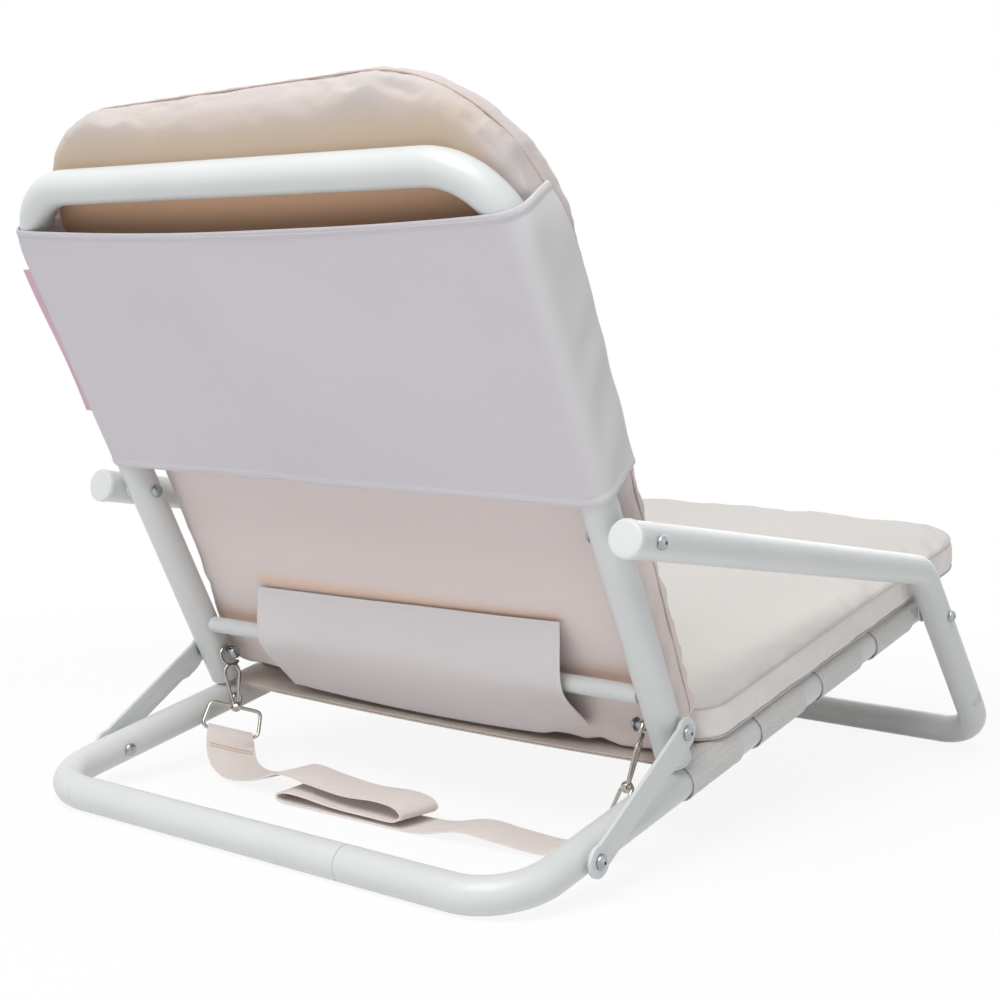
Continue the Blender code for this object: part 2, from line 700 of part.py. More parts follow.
# Fold links: flat bars outside the rails and uprights, with a stop lug near the upper end
def build_links(body, base):
    along = (LINK_HEAD - LINK_FOOT).normalized()
    up_side = Vector((-along.y, along.x))
    heading = LINK_RISE
    half = LINK_WIDTH / 2
    neck = math.degrees(math.asin(half / LINK_END_RADIUS))
    outline = arc(LINK_FOOT, LINK_END_RADIUS, heading + neck, heading + 360 - neck, 10)
    lug = -half - LINK_LUG_HEIGHT
    for run, rise in ((LINK_LUG_FOOT, -half), (LINK_LUG_END, lug), (LINK_LUG_START, lug)):
        outline.append(LINK_HEAD - along * run + up_side * rise)
    outline += arc(LINK_HEAD, LINK_END_RADIUS, heading - 180 + neck, heading + 180 - neck, 10)
    holes = joined([drill(LINK_OUTER + TUBE_R, OUTER_FACE, p) for p in (LINK_FOOT, LINK_HEAD)])
    foot_bolt = bolt(LINK_OUTER + FIT_GAP, INNER_FACE - FIT_GAP, LINK_FOOT)
    washer = disc(OUTER_FACE + FIT_GAP, WASHER_THICKNESS, WASHER_OD / 2, HOLE_R, LINK_FOOT)
    for side in ("left", "right"):
        link = add_piece("fold_link_" + side, on_side(slab(outline, LINK_INNER, LINK_OUTER), side), body,
                         "white_paint")
        combine(link, on_side(holes, side), "DIFFERENCE")
        add_piece("link_foot_bolt_" + side, on_side(foot_bolt, side), base, "zinc")
        add_piece("link_washer_" + side, on_side(washer, side), base, "white_plastic")


# Back frame: inverted U with plugged feet that rest on the rails, and a low crossbar
def build_back(body):
    half = [back_spot(0, BACK_LENGTH, 0), back_spot(RAIL_X, BACK_LENGTH, 0),
            back_spot(RAIL_X, -UPRIGHT_BELOW_LINK, 0)]
    shape = mirrored_tube(bend(half, BACK_BEND_RADIUS), BACK_FRONT_3D, TUBE_R, BORE_R)
    frame = add_piece("back_tube", shape, body, "white_paint")
    out, inside = OUTER_FACE + TUBE_R, INNER_FACE - TUBE_R
    holes = joined([drill(out, inside, p) for p in (BACK_PIVOT, LINK_HEAD)])
    combine(frame, joined([holes, mirrored(holes)]), "DIFFERENCE")
    bar_end = INNER_FACE - FIT_GAP
    ends = [back_spot(side * bar_end, CROSSBAR_ABOVE_LINK, 0) for side in (-1, 1)]
    add_piece("back_crossbar", rod(ends, BACK_FRONT_3D, CROSSBAR_OD / 2, TUBE_SIDES), body, "white_paint")
    plug = turned(
        [(-PLUG_FLANGE, 0.0), (-PLUG_FLANGE, TUBE_R - CAP_RIM), (0.0, TUBE_R), (0.0, BORE_R - FIT_GAP),
         (PLUG_INSERT, BORE_R - FIT_GAP), (PLUG_INSERT, 0.0)],
        back_spot(RAIL_X, -UPRIGHT_BELOW_LINK - FIT_GAP, 0), BACK_DIR_3D, TUBE_SIDES, SIDEWAYS)
    inner_bolt = bolt(OUTER_FACE - FIT_GAP, INNER_FACE - FIT_GAP, BACK_PIVOT, out_head=False)
    collars = ((LINK_INNER - FIT_GAP, OUTER_FACE + FIT_GAP, WASHER_OD / 2 - CAP_RIM),)
    head_bolt = bolt(LINK_OUTER + FIT_GAP, HOOK_HEAD_X, LINK_HEAD, collars=collars)
    for side in ("left", "right"):
        add_piece("upright_plug_" + side, on_side(plug, side), body, "white_plastic")
        add_piece("back_bolt_" + side, on_side(inner_bolt, side), body, "zinc")
        add_piece("link_head_bolt_" + side, on_side(head_bolt, side), body, "zinc")


# Back cover: cushion in front of the tube, sleeve panel behind it, low flap over the crossbar, side tag
def build_back_cover(body):
    outline = rounded_outline(BACK_CUSHION_HALF_WIDTH, BACK_CUSHION_BOTTOM, BACK_CUSHION_TOP,
                              BACK_BOTTOM_CORNER, BACK_TOP_CORNER_LEFT, BACK_TOP_CORNER_RIGHT, CUSHION_ROUND)
    shape = cushion(outline, pad_spot, CUSHION_REAR, BACK_CUSHION_SIDE, BACK_CUSHION_CROWN)
    add_piece("back_cushion", shape, body, "cover_cloth")

    inner = []
    outer = []
    for left in steps(1, 0, PANEL_ROWS):
        line = panel_line(1 - left ** PANEL_ROW_CROWDING)
        inner.append([back_spot(*p) for p in line])
        outer.append([back_spot(*p) for p in thickened(line, PANEL_CLOTH)])
    add_piece("back_panel", sheet(inner, outer), body, "cover_cloth")

    faces = []
    for cloth in (0.0, FLAP_CLOTH):
        faces.append([flap_row(along, ahead) for along, ahead in flap_line(cloth)])
    add_piece("back_flap", sheet(*faces), body, "cover_cloth")

    x_in = RAIL_X + PANEL_R + PANEL_CLOTH + FIT_GAP
    corners = [(TAG_BOTTOM, -TAG_CLOTH), (TAG_TOP, -TAG_CLOTH), (TAG_TOP, 0.0), (TAG_BOTTOM, 0.0)]
    tag = [LINK_HEAD + BACK_DIR * a + BACK_FRONT * b for a, b in corners]
    add_piece("side_tag", slab(tag, x_in, x_in + TAG_WIDTH), body, "tag_cloth")


def pad_spot(x, along, ahead):
    return back_spot(x - askew_at(along), along - PAD_ASKEW * x * max(0.0, along) / BACK_CUSHION_TOP, ahead)


def askew_at(along):
    return PAD_ASKEW * (along - BACK_CUSHION_ASKEW_FROM)


def panel_line(share):
    line = []
    for ahead in (PANEL_AHEAD, CUSHION_REAR + CUSHION_EDGE + FIT_GAP):
        along = panel_along(share, RAIL_X, ahead)
        line.append((pad_edge(along, 1), along, ahead))
    corners = [90 - 360 / TUBE_SIDES * (k + 0.5) for k in range(TUBE_SIDES // 2)]
    for turn in [*corners, -90]:
        line.append(panel_point(share, 1, turn))
    last = line[-1][0]
    for k in range(1, PANEL_ACROSS):
        x = last * (1 - 2 * k / PANEL_ACROSS)
        line.append((x, panel_along(share, x, -PANEL_R), -PANEL_R))
    for turn in [-90, *[t for t in reversed(corners) if t < 0], 0]:
        line.append(panel_point(share, -1, turn))
    for ahead in steps(0, PANEL_AHEAD, 3)[1:]:
        along = panel_along(share, RAIL_X, ahead)
        centre, widen = upright_at(along)
        line.append((-max(centre + PANEL_R * widen, pad_edge(along, -1)), along, ahead))
    return line


def panel_point(share, side, turn):
    ahead = PANEL_R * math.sin(math.radians(turn))
    along = panel_along(share, RAIL_X, ahead)
    centre, widen = upright_at(along)
    return side * (centre + PANEL_R * widen * math.cos(math.radians(turn))), along, ahead


def panel_along(share, x, ahead):
    low, high = PIVOT_ALONG_BACK + PANEL_ABOVE_PIVOT, BACK_LENGTH - PANEL_TOP_BELOW_TUBE
    dip = PANEL_SAG * share * max(0.0, 1 - (x / RAIL_X) ** 2)
    forward = (ahead + PANEL_R) / (PANEL_AHEAD + PANEL_R)
    return low + (high - low) * share - dip + PANEL_SIDE_LIFT * forward


def upright_at(along):
    beyond = max(0.0, along - BACK_LENGTH + BACK_BEND_RADIUS)
    run = math.sqrt(BACK_BEND_RADIUS ** 2 - beyond ** 2)
    ease = min(beyond * PANEL_EASE_SLOPE, PANEL_BEND_EASE)
    return RAIL_X - BACK_BEND_RADIUS + run + ease, BACK_BEND_RADIUS / run


def pad_edge(along, side):
    level = along / (1 - PAD_ASKEW * side * BACK_CUSHION_HALF_WIDTH / BACK_CUSHION_TOP)
    rounding = BACK_TOP_CORNER_LEFT if side > 0 else BACK_TOP_CORNER_RIGHT
    beyond = max(0.0, level - BACK_CUSHION_TOP + rounding)
    corner = rounding - math.sqrt(rounding ** 2 - beyond ** 2)
    return BACK_CUSHION_HALF_WIDTH - side * askew_at(level) - corner + FIT_GAP


def thickened(line, cloth):
    result = []
    for k, (x, along, ahead) in enumerate(line):
        before, after = line[max(k - 1, 0)], line[min(k + 1, len(line) - 1)]
        run = Vector((after[0] - before[0], after[2] - before[2])).normalized()
        result.append((x - run.y * cloth, along, ahead + run.x * cloth))
    return result


def flap_line(cloth):
    # Sewn to the cushion above and below, and drawn round behind the crossbar
    pad = CUSHION_REAR - FIT_GAP - cloth
    reach = CROSSBAR_OD / 2 / math.cos(math.pi / TUBE_SIDES) + FIT_GAP + cloth
    top, bottom = FLAP_ABOVE_BAR, -FLAP_BELOW_BAR
    turns = []
    for along, side in ((top - FLAP_SEAM, -1), (bottom + FLAP_SEAM, 1)):
        away = math.hypot(along, pad)
        turns.append(math.atan2(pad, along) + side * math.acos(reach / away))
    first, last = turns[0], turns[1] - 2 * math.pi
    line = [(top, pad), (top - FLAP_SEAM, pad)]
    line += [(reach * math.cos(t), reach * math.sin(t)) for t in steps(first, last, FLAP_WRAP)]
    line += [(bottom + FLAP_SEAM, pad), (bottom, pad)]
    return [(CROSSBAR_ABOVE_LINK + along, ahead) for along, ahead in line]


def flap_row(along, ahead):
    return [back_spot(x, along, ahead) for x in steps(FLAP_LEFT, FLAP_RIGHT, FLAP_ACROSS)]


# Carry strap with a snap hook, gate and wire loop at each end
def build_strap(body, gate_bodies):
    ring = HOOK_RING_CENTRE
    ball = HOOK_BALL_CENTRE
    up = HOOK_UP
    across = HOOK_ACROSS

    def flat(p, a):
        return ring + across * p + up * a

    open_turn = HOOK_RING_OPEN
    nose = [flat(*(direction(t) * HOOK_RING_RADIUS)) for t in steps(open_turn, 360 - open_turn, 14)]
    neck = HOOK_RING_RADIUS
    wide = HOOK_BAIL_HALF_WIDTH
    drop = HOOK_REACH
    bail = [flat(-HOOK_BAIL_FOOT, HOOK_BAIL_FOOT - drop), flat(-wide, -neck - wide)]
    bail += [flat(wide * math.cos(t), -neck - wide + wide * math.sin(t)) for t in radians(150, 30, 4)]
    bail += [flat(wide, -neck - wide), flat(HOOK_BAIL_FOOT, HOOK_BAIL_FOOT - drop)]
    normal = across.cross(up)
    ball_r = HOOK_BALL_OD / 2
    ball_profile = [(-ball_r * math.cos(t), ball_r * math.sin(t)) for t in radians(0, 180, 6)]
    ball_profile = [(a, 0.0 if abs(r) < 1e-9 else r) for a, r in ball_profile]
    ball_shape = turned(ball_profile, ball, up, WIRE_SIDES)
    eye = rod([ball - LOOP_ACROSS * HOOK_BALL_OD, ball + LOOP_ACROSS * HOOK_BALL_OD], up,
              LOOP_WIRE / 2 + RUN_GAP)
    loop_normal = LOOP_ACROSS.cross(HOOK_BALL_CENTRE - LOOP_BASE_CENTRE)
    loop_shape = rod(loop_points(), loop_normal, LOOP_WIRE / 2, WIRE_SIDES, closed=True)
    gate = rod([flat(GATE_PLACE.x, -GATE_PLACE.y), flat(*GATE_PLACE)], normal, GATE_WIRE / 2, 6)
    for side in ("left", "right"):
        hook = add_piece("snap_hook_" + side, on_side(ball_shape, side), body, "nickel")
        combine(hook, on_side(rod(bail, normal, HOOK_WIRE / 2), side), "UNION")
        combine(hook, on_side(rod(nose, normal, HOOK_WIRE / 2), side), "UNION")
        combine(hook, on_side(eye, side), "DIFFERENCE")
        add_piece("hook_gate_" + side, on_side(gate, side), gate_bodies[side], "nickel")
        add_piece("strap_loop_" + side, on_side(loop_shape, side), body, "nickel")
    add_piece("carry_strap", strap_shape(), body, "strap_cloth")


def steps(begin, end, count):
    return [begin + (end - begin) * k / count for k in range(count + 1)]


def radians(begin, end, count):
    return [math.radians(t) for t in steps(begin, end, count)]


def loop_points():
    half_top, half_base = LOOP_TOP_WIDTH / 2, LOOP_BASE_WIDTH / 2
    across = LOOP_ACROSS
    top, base = HOOK_BALL_CENTRE, LOOP_BASE_CENTRE
    corners = [top - across * half_top, base - across * half_base, base + across * half_base,
               top + across * half_top]
    path = bend([top] + corners + [top], LOOP_CORNER, 30)
    return path[:-1]


def strap_shape():
    start = LOOP_BASE_CENTRE - UPWARD * (LOOP_WIRE / 2 + STRAP_LOOP_GAP + STRAP_CLOTH / 2)
    ends = ((start.x, -start.y, start.z, LOOP_TURN, LOOP_TILT),
            (-start.x, -start.y, start.z, -LOOP_TURN, LOOP_TILT))
    route = [(share * start.x, -start.y - behind * STRAP_WIDTH, height * STRAP_WIDTH, turn, 0.0)
             for share, behind, height, turn in STRAP_ROUTE]
    stations = [ends[0], *route, ends[1]]
    points = [Vector(s) for s in stations]
    line = []
    for k in range(len(points) - 1):
        before, after = points[max(k - 1, 0)], points[min(k + 2, len(points) - 1)]
        for j in range(STRAP_STEPS):
            line.append(through(before, points[k], points[k + 1], after, j / STRAP_STEPS))
    line.append(points[-1])
    places = [Vector((p[0], -p[1], p[2])) for p in line]
    over = []
    under = []
    for k, (place, station) in enumerate(zip(places, line)):
        tangent = (places[min(k + 1, len(places) - 1)] - places[max(k - 1, 0)]).normalized()
        wide = width_way(station[3], station[4])
        square = min(1.0, min(k, len(places) - 1 - k) / STRAP_STEPS)   # the ends stay along the loop's bar
        wide = (wide - tangent * wide.dot(tangent) * square).normalized() * (STRAP_WIDTH / 2)
        thick = tangent.cross(wide).normalized() * (STRAP_CLOTH / 2)
        over.append([place - wide + thick, place + wide + thick])
        under.append([place - wide - thick, place + wide - thick])
    return sheet(over, under)


def width_way(turn, tilt):
    turn, tilt = math.radians(turn), math.radians(tilt)
    return Vector((-math.sin(turn) * math.cos(tilt), -math.cos(turn) * math.cos(tilt), -math.sin(tilt)))


def through(before, a, b, after, t):
    return 0.5 * ((2 * a) + (b - before) * t + (2 * before - 5 * a + 4 * b - after) * t ** 2
                  + (3 * a - before - 3 * b + after) * t ** 3)


# Places that more than one piece takes
SIDEWAYS = Vector((1, 0, 0))
UPWARD = Vector((0, 0, 1))
RAIL_DIR_3D = Vector((0, -RAIL_DIR.x, RAIL_DIR.y))
BACK_DIR_3D = Vector((0, -BACK_DIR.x, BACK_DIR.y))
BACK_FRONT_3D = Vector((0, -BACK_FRONT.x, BACK_FRONT.y))
BAND_FRONT_END = FRONT_PIVOT_ALONG_RAIL - BAND_FRONT_FROM_PIVOT
BAND_REAR_END = BAND_FRONT_END - (BAND_COUNT - 1) * BAND_PITCH - BAND_WIDTH
BAND_SCREW = REAR_AXIS + RAIL_DIR * (BAND_REAR_END - BAND_SCREW_BEHIND)
CAP_PLUG = BACK_PIVOT_FROM_ARM_END - HOLE_R - 2 * FIT_GAP
CUSHION_REAR = CORNER_R + FIT_GAP
PANEL_R = CORNER_R + FIT_GAP
UPRIGHT_TILT = BACK_FRONT.dot(RAIL_UP)
UPRIGHT_BELOW_LINK = ((LINK_HEAD - REAR_AXIS).dot(RAIL_UP) - CORNER_R - UPRIGHT_REST_GAP
                      - CORNER_R * abs(UPRIGHT_TILT)) / BACK_DIR.dot(RAIL_UP) - PLUG_FLANGE - FIT_GAP
PLUG_INSERT = UPRIGHT_BELOW_LINK - HOLE_R - 2 * FIT_GAP
BACK_CUSHION_FRONT = CUSHION_REAR + BACK_CUSHION_SIDE
CUSHION_CORNER = LINK_HEAD + BACK_DIR * BACK_CUSHION_BOTTOM + BACK_FRONT * BACK_CUSHION_FRONT
SEAT_CUSHION_REAR = (CUSHION_CORNER - REAR_AXIS).dot(RAIL_DIR) + FIT_GAP
HOOK_ACROSS = Vector((-math.sin(math.radians(HOOK_TURN)), -math.cos(math.radians(HOOK_TURN)), 0))
LOOP_ACROSS = width_way(LOOP_TURN, LOOP_TILT)
WIRE_REACH = HOOK_WIRE / 2 / math.cos(math.pi / WIRE_SIDES)
HOOK_RING_TILT = math.hypot(HOOK_ACROSS.x, HOOK_LEAN_IN / HOOK_REACH)
HOOK_RING_HALF = HOOK_RING_RADIUS * HOOK_RING_TILT + WIRE_REACH + FIT_GAP
HOOK_HEAD_X = INNER_FACE - FIT_GAP - 2 * HOOK_RING_HALF
HOOK_RING_DROP = HOOK_RING_RADIUS - WIRE_REACH - BOLT_R / math.cos(math.pi / BOLT_SIDES) - 2 * FIT_GAP
HOOK_RING_CENTRE = spot(HOOK_HEAD_X + HOOK_RING_HALF, LINK_HEAD) - UPWARD * HOOK_RING_DROP
HOOK_LEAN = Vector((HOOK_LEAN_IN, -HOOK_LEAN_BACK, 0))
HOOK_FALL = math.sqrt(HOOK_REACH ** 2 - HOOK_LEAN.length_squared)
HOOK_BALL_CENTRE = HOOK_RING_CENTRE - HOOK_LEAN - Vector((0, 0, HOOK_FALL))
LOOP_LEAN = Vector((LOOP_LEAN_IN, -LOOP_LEAN_BACK, 0))
LOOP_FALL = math.sqrt(LOOP_HEIGHT ** 2 - LOOP_LEAN.length_squared)
LOOP_HANG = -LOOP_LEAN - Vector((0, 0, LOOP_FALL))
LOOP_HANG = (LOOP_HANG - LOOP_ACROSS * LOOP_HANG.dot(LOOP_ACROSS)).normalized() * LOOP_HEIGHT
LOOP_BASE_CENTRE = HOOK_BALL_CENTRE + LOOP_HANG
GATE_END = direction(HOOK_RING_OPEN) * HOOK_RING_RADIUS
GATE_PLACE = Vector((GATE_END.x, GATE_END.y - WIRE_REACH - RUN_GAP))
HOOK_UP = (HOOK_RING_CENTRE - HOOK_BALL_CENTRE).normalized()
GATE_FOOT = HOOK_RING_CENTRE + HOOK_ACROSS * GATE_PLACE.x - HOOK_UP * GATE_PLACE.y


def centre_on_floor(chair):
    bpy.context.view_layer.update()
    spread_y = []
    for piece in bpy.data.objects:
        if piece.type == "MESH" and not piece.hide_render:
            spread_y += [(piece.matrix_world @ v.co).y for v in piece.data.vertices]
    chair.location.y -= (min(spread_y) + max(spread_y)) / 2


def build_chair():
    clear_scene()
    chair = add_empty("chair", Vector((0, 0, 0)))
    seat_body = add_empty("seat_body", Vector((0, 0, 0)), chair)
    arm_body = add_empty("arm_body", spot(0, FRONT_PIVOT), seat_body)
    link_body = add_empty("link_body", spot(0, LINK_FOOT), seat_body)
    back_body = add_empty("back_body", spot(0, LINK_HEAD), link_body)
    strap_body = add_empty("strap_body", spot(0, LINK_HEAD), back_body)
    gate_bodies = {}
    for side, sign in (("left", 1), ("right", -1)):
        place = Vector((sign * GATE_FOOT.x, GATE_FOOT.y, GATE_FOOT.z))
        gate_bodies[side] = add_empty("gate_body_" + side, place, strap_body)
    build_base(seat_body)
    build_bands(seat_body)
    build_seat_cushion(seat_body)
    build_arms(arm_body)
    build_links(link_body, seat_body)
    build_back(back_body)
    build_back_cover(back_body)
    build_strap(strap_body, gate_bodies)
    centre_on_floor(chair)


build_chair()
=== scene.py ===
# Looks for the low folding chair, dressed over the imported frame
import math

import bpy
from mathutils import Matrix, Vector, noise


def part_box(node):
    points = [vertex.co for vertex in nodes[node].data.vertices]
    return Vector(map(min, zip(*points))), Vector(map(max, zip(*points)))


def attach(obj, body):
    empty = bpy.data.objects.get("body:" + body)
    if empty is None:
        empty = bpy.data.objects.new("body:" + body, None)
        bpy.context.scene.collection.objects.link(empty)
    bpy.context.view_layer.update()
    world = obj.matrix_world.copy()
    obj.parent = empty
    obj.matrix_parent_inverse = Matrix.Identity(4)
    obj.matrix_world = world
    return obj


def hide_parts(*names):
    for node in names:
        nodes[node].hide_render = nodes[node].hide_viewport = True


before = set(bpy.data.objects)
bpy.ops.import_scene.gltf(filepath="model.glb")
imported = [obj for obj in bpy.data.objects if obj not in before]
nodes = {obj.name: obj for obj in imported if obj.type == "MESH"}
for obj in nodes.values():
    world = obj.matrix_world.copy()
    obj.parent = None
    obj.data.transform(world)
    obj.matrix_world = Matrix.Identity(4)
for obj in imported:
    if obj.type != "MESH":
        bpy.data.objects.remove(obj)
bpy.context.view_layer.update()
print("frame loaded:", len(nodes), "nodes")

chair = {
    "railX": 0.2215, "armX": 0.2487, "tubeRadius": 0.0125,
    "rearAxis": (0.321686, 0.0125), "railSlope": 12.2, "railEnd": 0.591,
    "linkHead": (0.149421, 0.093963), "backPivot": (0.22569, 0.231137),
    "armEnd": (0.245028, 0.233648), "armCorner": (-0.202712, 0.175497), "foot": (-0.350508, 0.0125),
}
sides = {"left": 1, "right": -1}
railAngle = math.radians(chair["railSlope"])
railRun = Vector((0, -math.cos(railAngle), math.sin(railAngle)))
railUp = Vector((0, math.sin(railAngle), math.cos(railAngle)))
backRun = (Vector((0, *chair["backPivot"])) - Vector((0, *chair["linkHead"]))).normalized()
backFront = Vector((0, -backRun.z, backRun.y))


def seatSpot(x, along, off):
    return Vector((x, *chair["rearAxis"])) + railRun * along + railUp * off


def backSpot(x, along, off):
    return Vector((x, *chair["linkHead"])) + backRun * along + backFront * off


# Camera at the photograph's angle
cameraView = {
    "place": (-0.826, 1.131686, 0.347), "yaw": 36.72, "pitch": 4.5, "roll": 1.48,
    "lens": 61.4844, "shift": (-0.0209, -0.0122),
}


def setCamera(view):
    yaw, pitch, roll = (math.radians(view[k]) for k in ("yaw", "pitch", "roll"))
    ahead = Vector((math.sin(yaw) * math.cos(pitch), -math.cos(yaw) * math.cos(pitch), -math.sin(pitch)))
    level = ahead.cross(Vector((0, 0, 1))).normalized()
    above = level.cross(ahead)
    right = level * math.cos(roll) + above * math.sin(roll)
    up = above * math.cos(roll) - level * math.sin(roll)
    bpy.ops.object.camera_add(location=view["place"])
    camera = bpy.context.object
    camera.name = "photoCamera"
    turned = Matrix((right, up, -ahead)).transposed().to_4x4()
    camera.matrix_world = Matrix.Translation(view["place"]) @ turned
    camera.data.lens = view["lens"]
    camera.data.sensor_width = 36
    camera.data.shift_x, camera.data.shift_y = view["shift"]
    camera.data.clip_start, camera.data.clip_end = 0.02, 60
    bpy.context.scene.camera = camera


# Hands-on helpers
def clearPick():
    if bpy.context.object and bpy.context.object.mode != "OBJECT":
        bpy.ops.object.mode_set(mode="OBJECT")
    bpy.ops.object.select_all(action="DESELECT")


def pick(piece):
    clearPick()
    piece.select_set(True)
    bpy.context.view_layer.objects.active = piece


def editAll(piece):
    pick(piece)
    bpy.ops.object.mode_set(mode="EDIT")
    bpy.ops.mesh.select_all(action="SELECT")


def applied(piece, kind, **settings):
    pick(piece)
    modifier = piece.modifiers.new(kind.lower(), kind)
    for key, value in settings.items():
        setattr(modifier, key, value)
    bpy.ops.object.modifier_apply(modifier=modifier.name)


def facedOut(piece, doubles=0.0):
    editAll(piece)
    if doubles:
        bpy.ops.mesh.remove_doubles(threshold=doubles)
    bpy.ops.mesh.normals_make_consistent(inside=False)
    bpy.ops.object.mode_set(mode="OBJECT")


def smoothed(piece, angle=35):
    pick(piece)
    bpy.ops.object.shade_smooth_by_angle(angle=math.radians(angle))


def settled(piece, name, body, finish, *stoodFor):
    piece.name = name
    piece.data.name = name
    piece.data.materials.clear()
    piece.data.materials.append(finishes[finish])
    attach(piece, body)
    if stoodFor:
        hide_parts(*stoodFor)
    return piece


def roundedPath(points, radius, step=4.0, closed=False):
    points = [Vector(p) for p in points]
    count = len(points)
    path = []
    for k, corner in enumerate(points):
        if not closed and k in (0, count - 1):
            path.append(corner)
            continue
        a = (points[k - 1] - corner).normalized()
        b = (points[(k + 1) % count] - corner).normalized()
        half = a.angle(b) / 2
        reach = radius[k] if isinstance(radius, (list, tuple)) else radius
        centre = corner + (a + b).normalized() * (reach / math.sin(half))
        first, last = corner + a * (reach / math.tan(half)), corner + b * (reach / math.tan(half))
        turn = math.pi - 2 * half
        pieces = max(2, round(math.degrees(turn) / step))
        begin, finish = first - centre, last - centre
        for j in range(pieces + 1):
            share = j / pieces
            mixed = begin * math.sin((1 - share) * turn) + finish * math.sin(share * turn)
            path.append(centre + mixed / math.sin(turn))
    return path


def wirePiece(path, radius, closed=False, roundness=6):
    clearPick()
    bpy.ops.curve.primitive_nurbs_path_add(location=(0, 0, 0))
    wire = bpy.context.object
    wire.data.splines.clear()
    line = wire.data.splines.new("POLY")
    line.points.add(len(path) - 1)
    for point, place in zip(line.points, path):
        point.co = (*place, 1)
    line.use_cyclic_u = closed
    wire.data.bevel_depth = radius
    wire.data.bevel_resolution = roundness
    wire.data.use_fill_caps = not closed
    bpy.ops.object.convert(target="MESH")
    wire = bpy.context.object
    facedOut(wire, 0.00001)
    smoothed(wire)
    return wire


def discAt(place, axis, radius, facets, fill):
    clearPick()
    bpy.ops.mesh.primitive_circle_add(
        vertices=facets, radius=radius, fill_type=fill, location=place,
        rotation=axis.to_track_quat("Z", "Y").to_euler())
    disc = bpy.context.object
    bpy.ops.object.transform_apply(location=True, rotation=True, scale=True)
    editAll(disc)
    return disc


def turnedPiece(profile, place, axis, facets):
    # rings are (distance along the axis, radius), drawn out one from the next
    place, axis = Vector(place), Vector(axis).normalized()
    along, radius = profile[0]
    piece = discAt(place + axis * along, axis, radius, facets, "NGON")
    for nextAlong, nextRadius in profile[1:]:
        bpy.ops.mesh.extrude_region_move(TRANSFORM_OT_translate={"value": axis * (nextAlong - along)})
        ratio = nextRadius / radius
        bpy.ops.transform.resize(value=(ratio,) * 3, center_override=place + axis * nextAlong)
        along, radius = nextAlong, nextRadius
    facedOut(piece)
    smoothed(piece, 30)
    return piece


def ringPiece(outer, inner, place, axis, thickness, facets=40):
    place, axis = Vector(place), Vector(axis).normalized()
    piece = discAt(place, axis, outer, facets, "NOTHING")
    bpy.ops.mesh.extrude_edges_move(TRANSFORM_OT_translate={"value": (0, 0, 0)})
    bpy.ops.transform.resize(value=(inner / outer,) * 3, center_override=place)
    bpy.ops.mesh.select_all(action="SELECT")
    bpy.ops.mesh.extrude_region_move(TRANSFORM_OT_translate={"value": axis * thickness})
    facedOut(piece)
    applied(piece, "BEVEL", width=0.0002, segments=2, limit_method="ANGLE")
    smoothed(piece, 30)
    return piece


def sheetPiece(columns, rows, spotAt, cloth, joinEnds=False):
    # a flat grid laid over spotAt(u, v), which gives a place and the cloth's own (width, length) in metres
    clearPick()
    bpy.ops.mesh.primitive_grid_add(x_subdivisions=columns, y_subdivisions=rows, size=1, location=(0, 0, 0))
    piece = bpy.context.object
    layer = piece.data.uv_layers.active.data
    laid = []
    for vert in piece.data.vertices:
        place, flat = spotAt(vert.co.x + 0.5, vert.co.y + 0.5)
        vert.co = place
        laid.append(flat)
    for loop in piece.data.loops:
        layer[loop.index].uv = laid[loop.vertex_index]
    if joinEnds:
        editAll(piece)
        bpy.ops.mesh.remove_doubles(threshold=0.00002)
        bpy.ops.object.mode_set(mode="OBJECT")
    applied(piece, "SOLIDIFY", thickness=cloth, offset=0, use_even_offset=True)
    facedOut(piece)
    smoothed(piece, 50)
    return piece


def copiedNode(node):
    clearPick()
    piece = nodes[node].copy()
    piece.data = nodes[node].data.copy()
    piece.parent = None
    for key in [k for k in piece.keys() if k.startswith("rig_")]:
        del piece[key]
    bpy.context.scene.collection.objects.link(piece)
    editAll(piece)
    bpy.ops.mesh.remove_doubles(threshold=0.000005)
    bpy.ops.mesh.tris_convert_to_quads()
    bpy.ops.object.mode_set(mode="OBJECT")
    return piece


def apart(a, b):
    return (Vector(b) - Vector(a)).length


def runsAlong(points, gap=math.dist):
    # distance from the first point to each
    runs = [0.0]
    for a, b in zip(points, points[1:]):
        runs.append(runs[-1] + gap(a, b))
    return runs


def eased(value):
    value = max(0.0, min(1.0, value))
    return value * value * (3 - 2 * value)


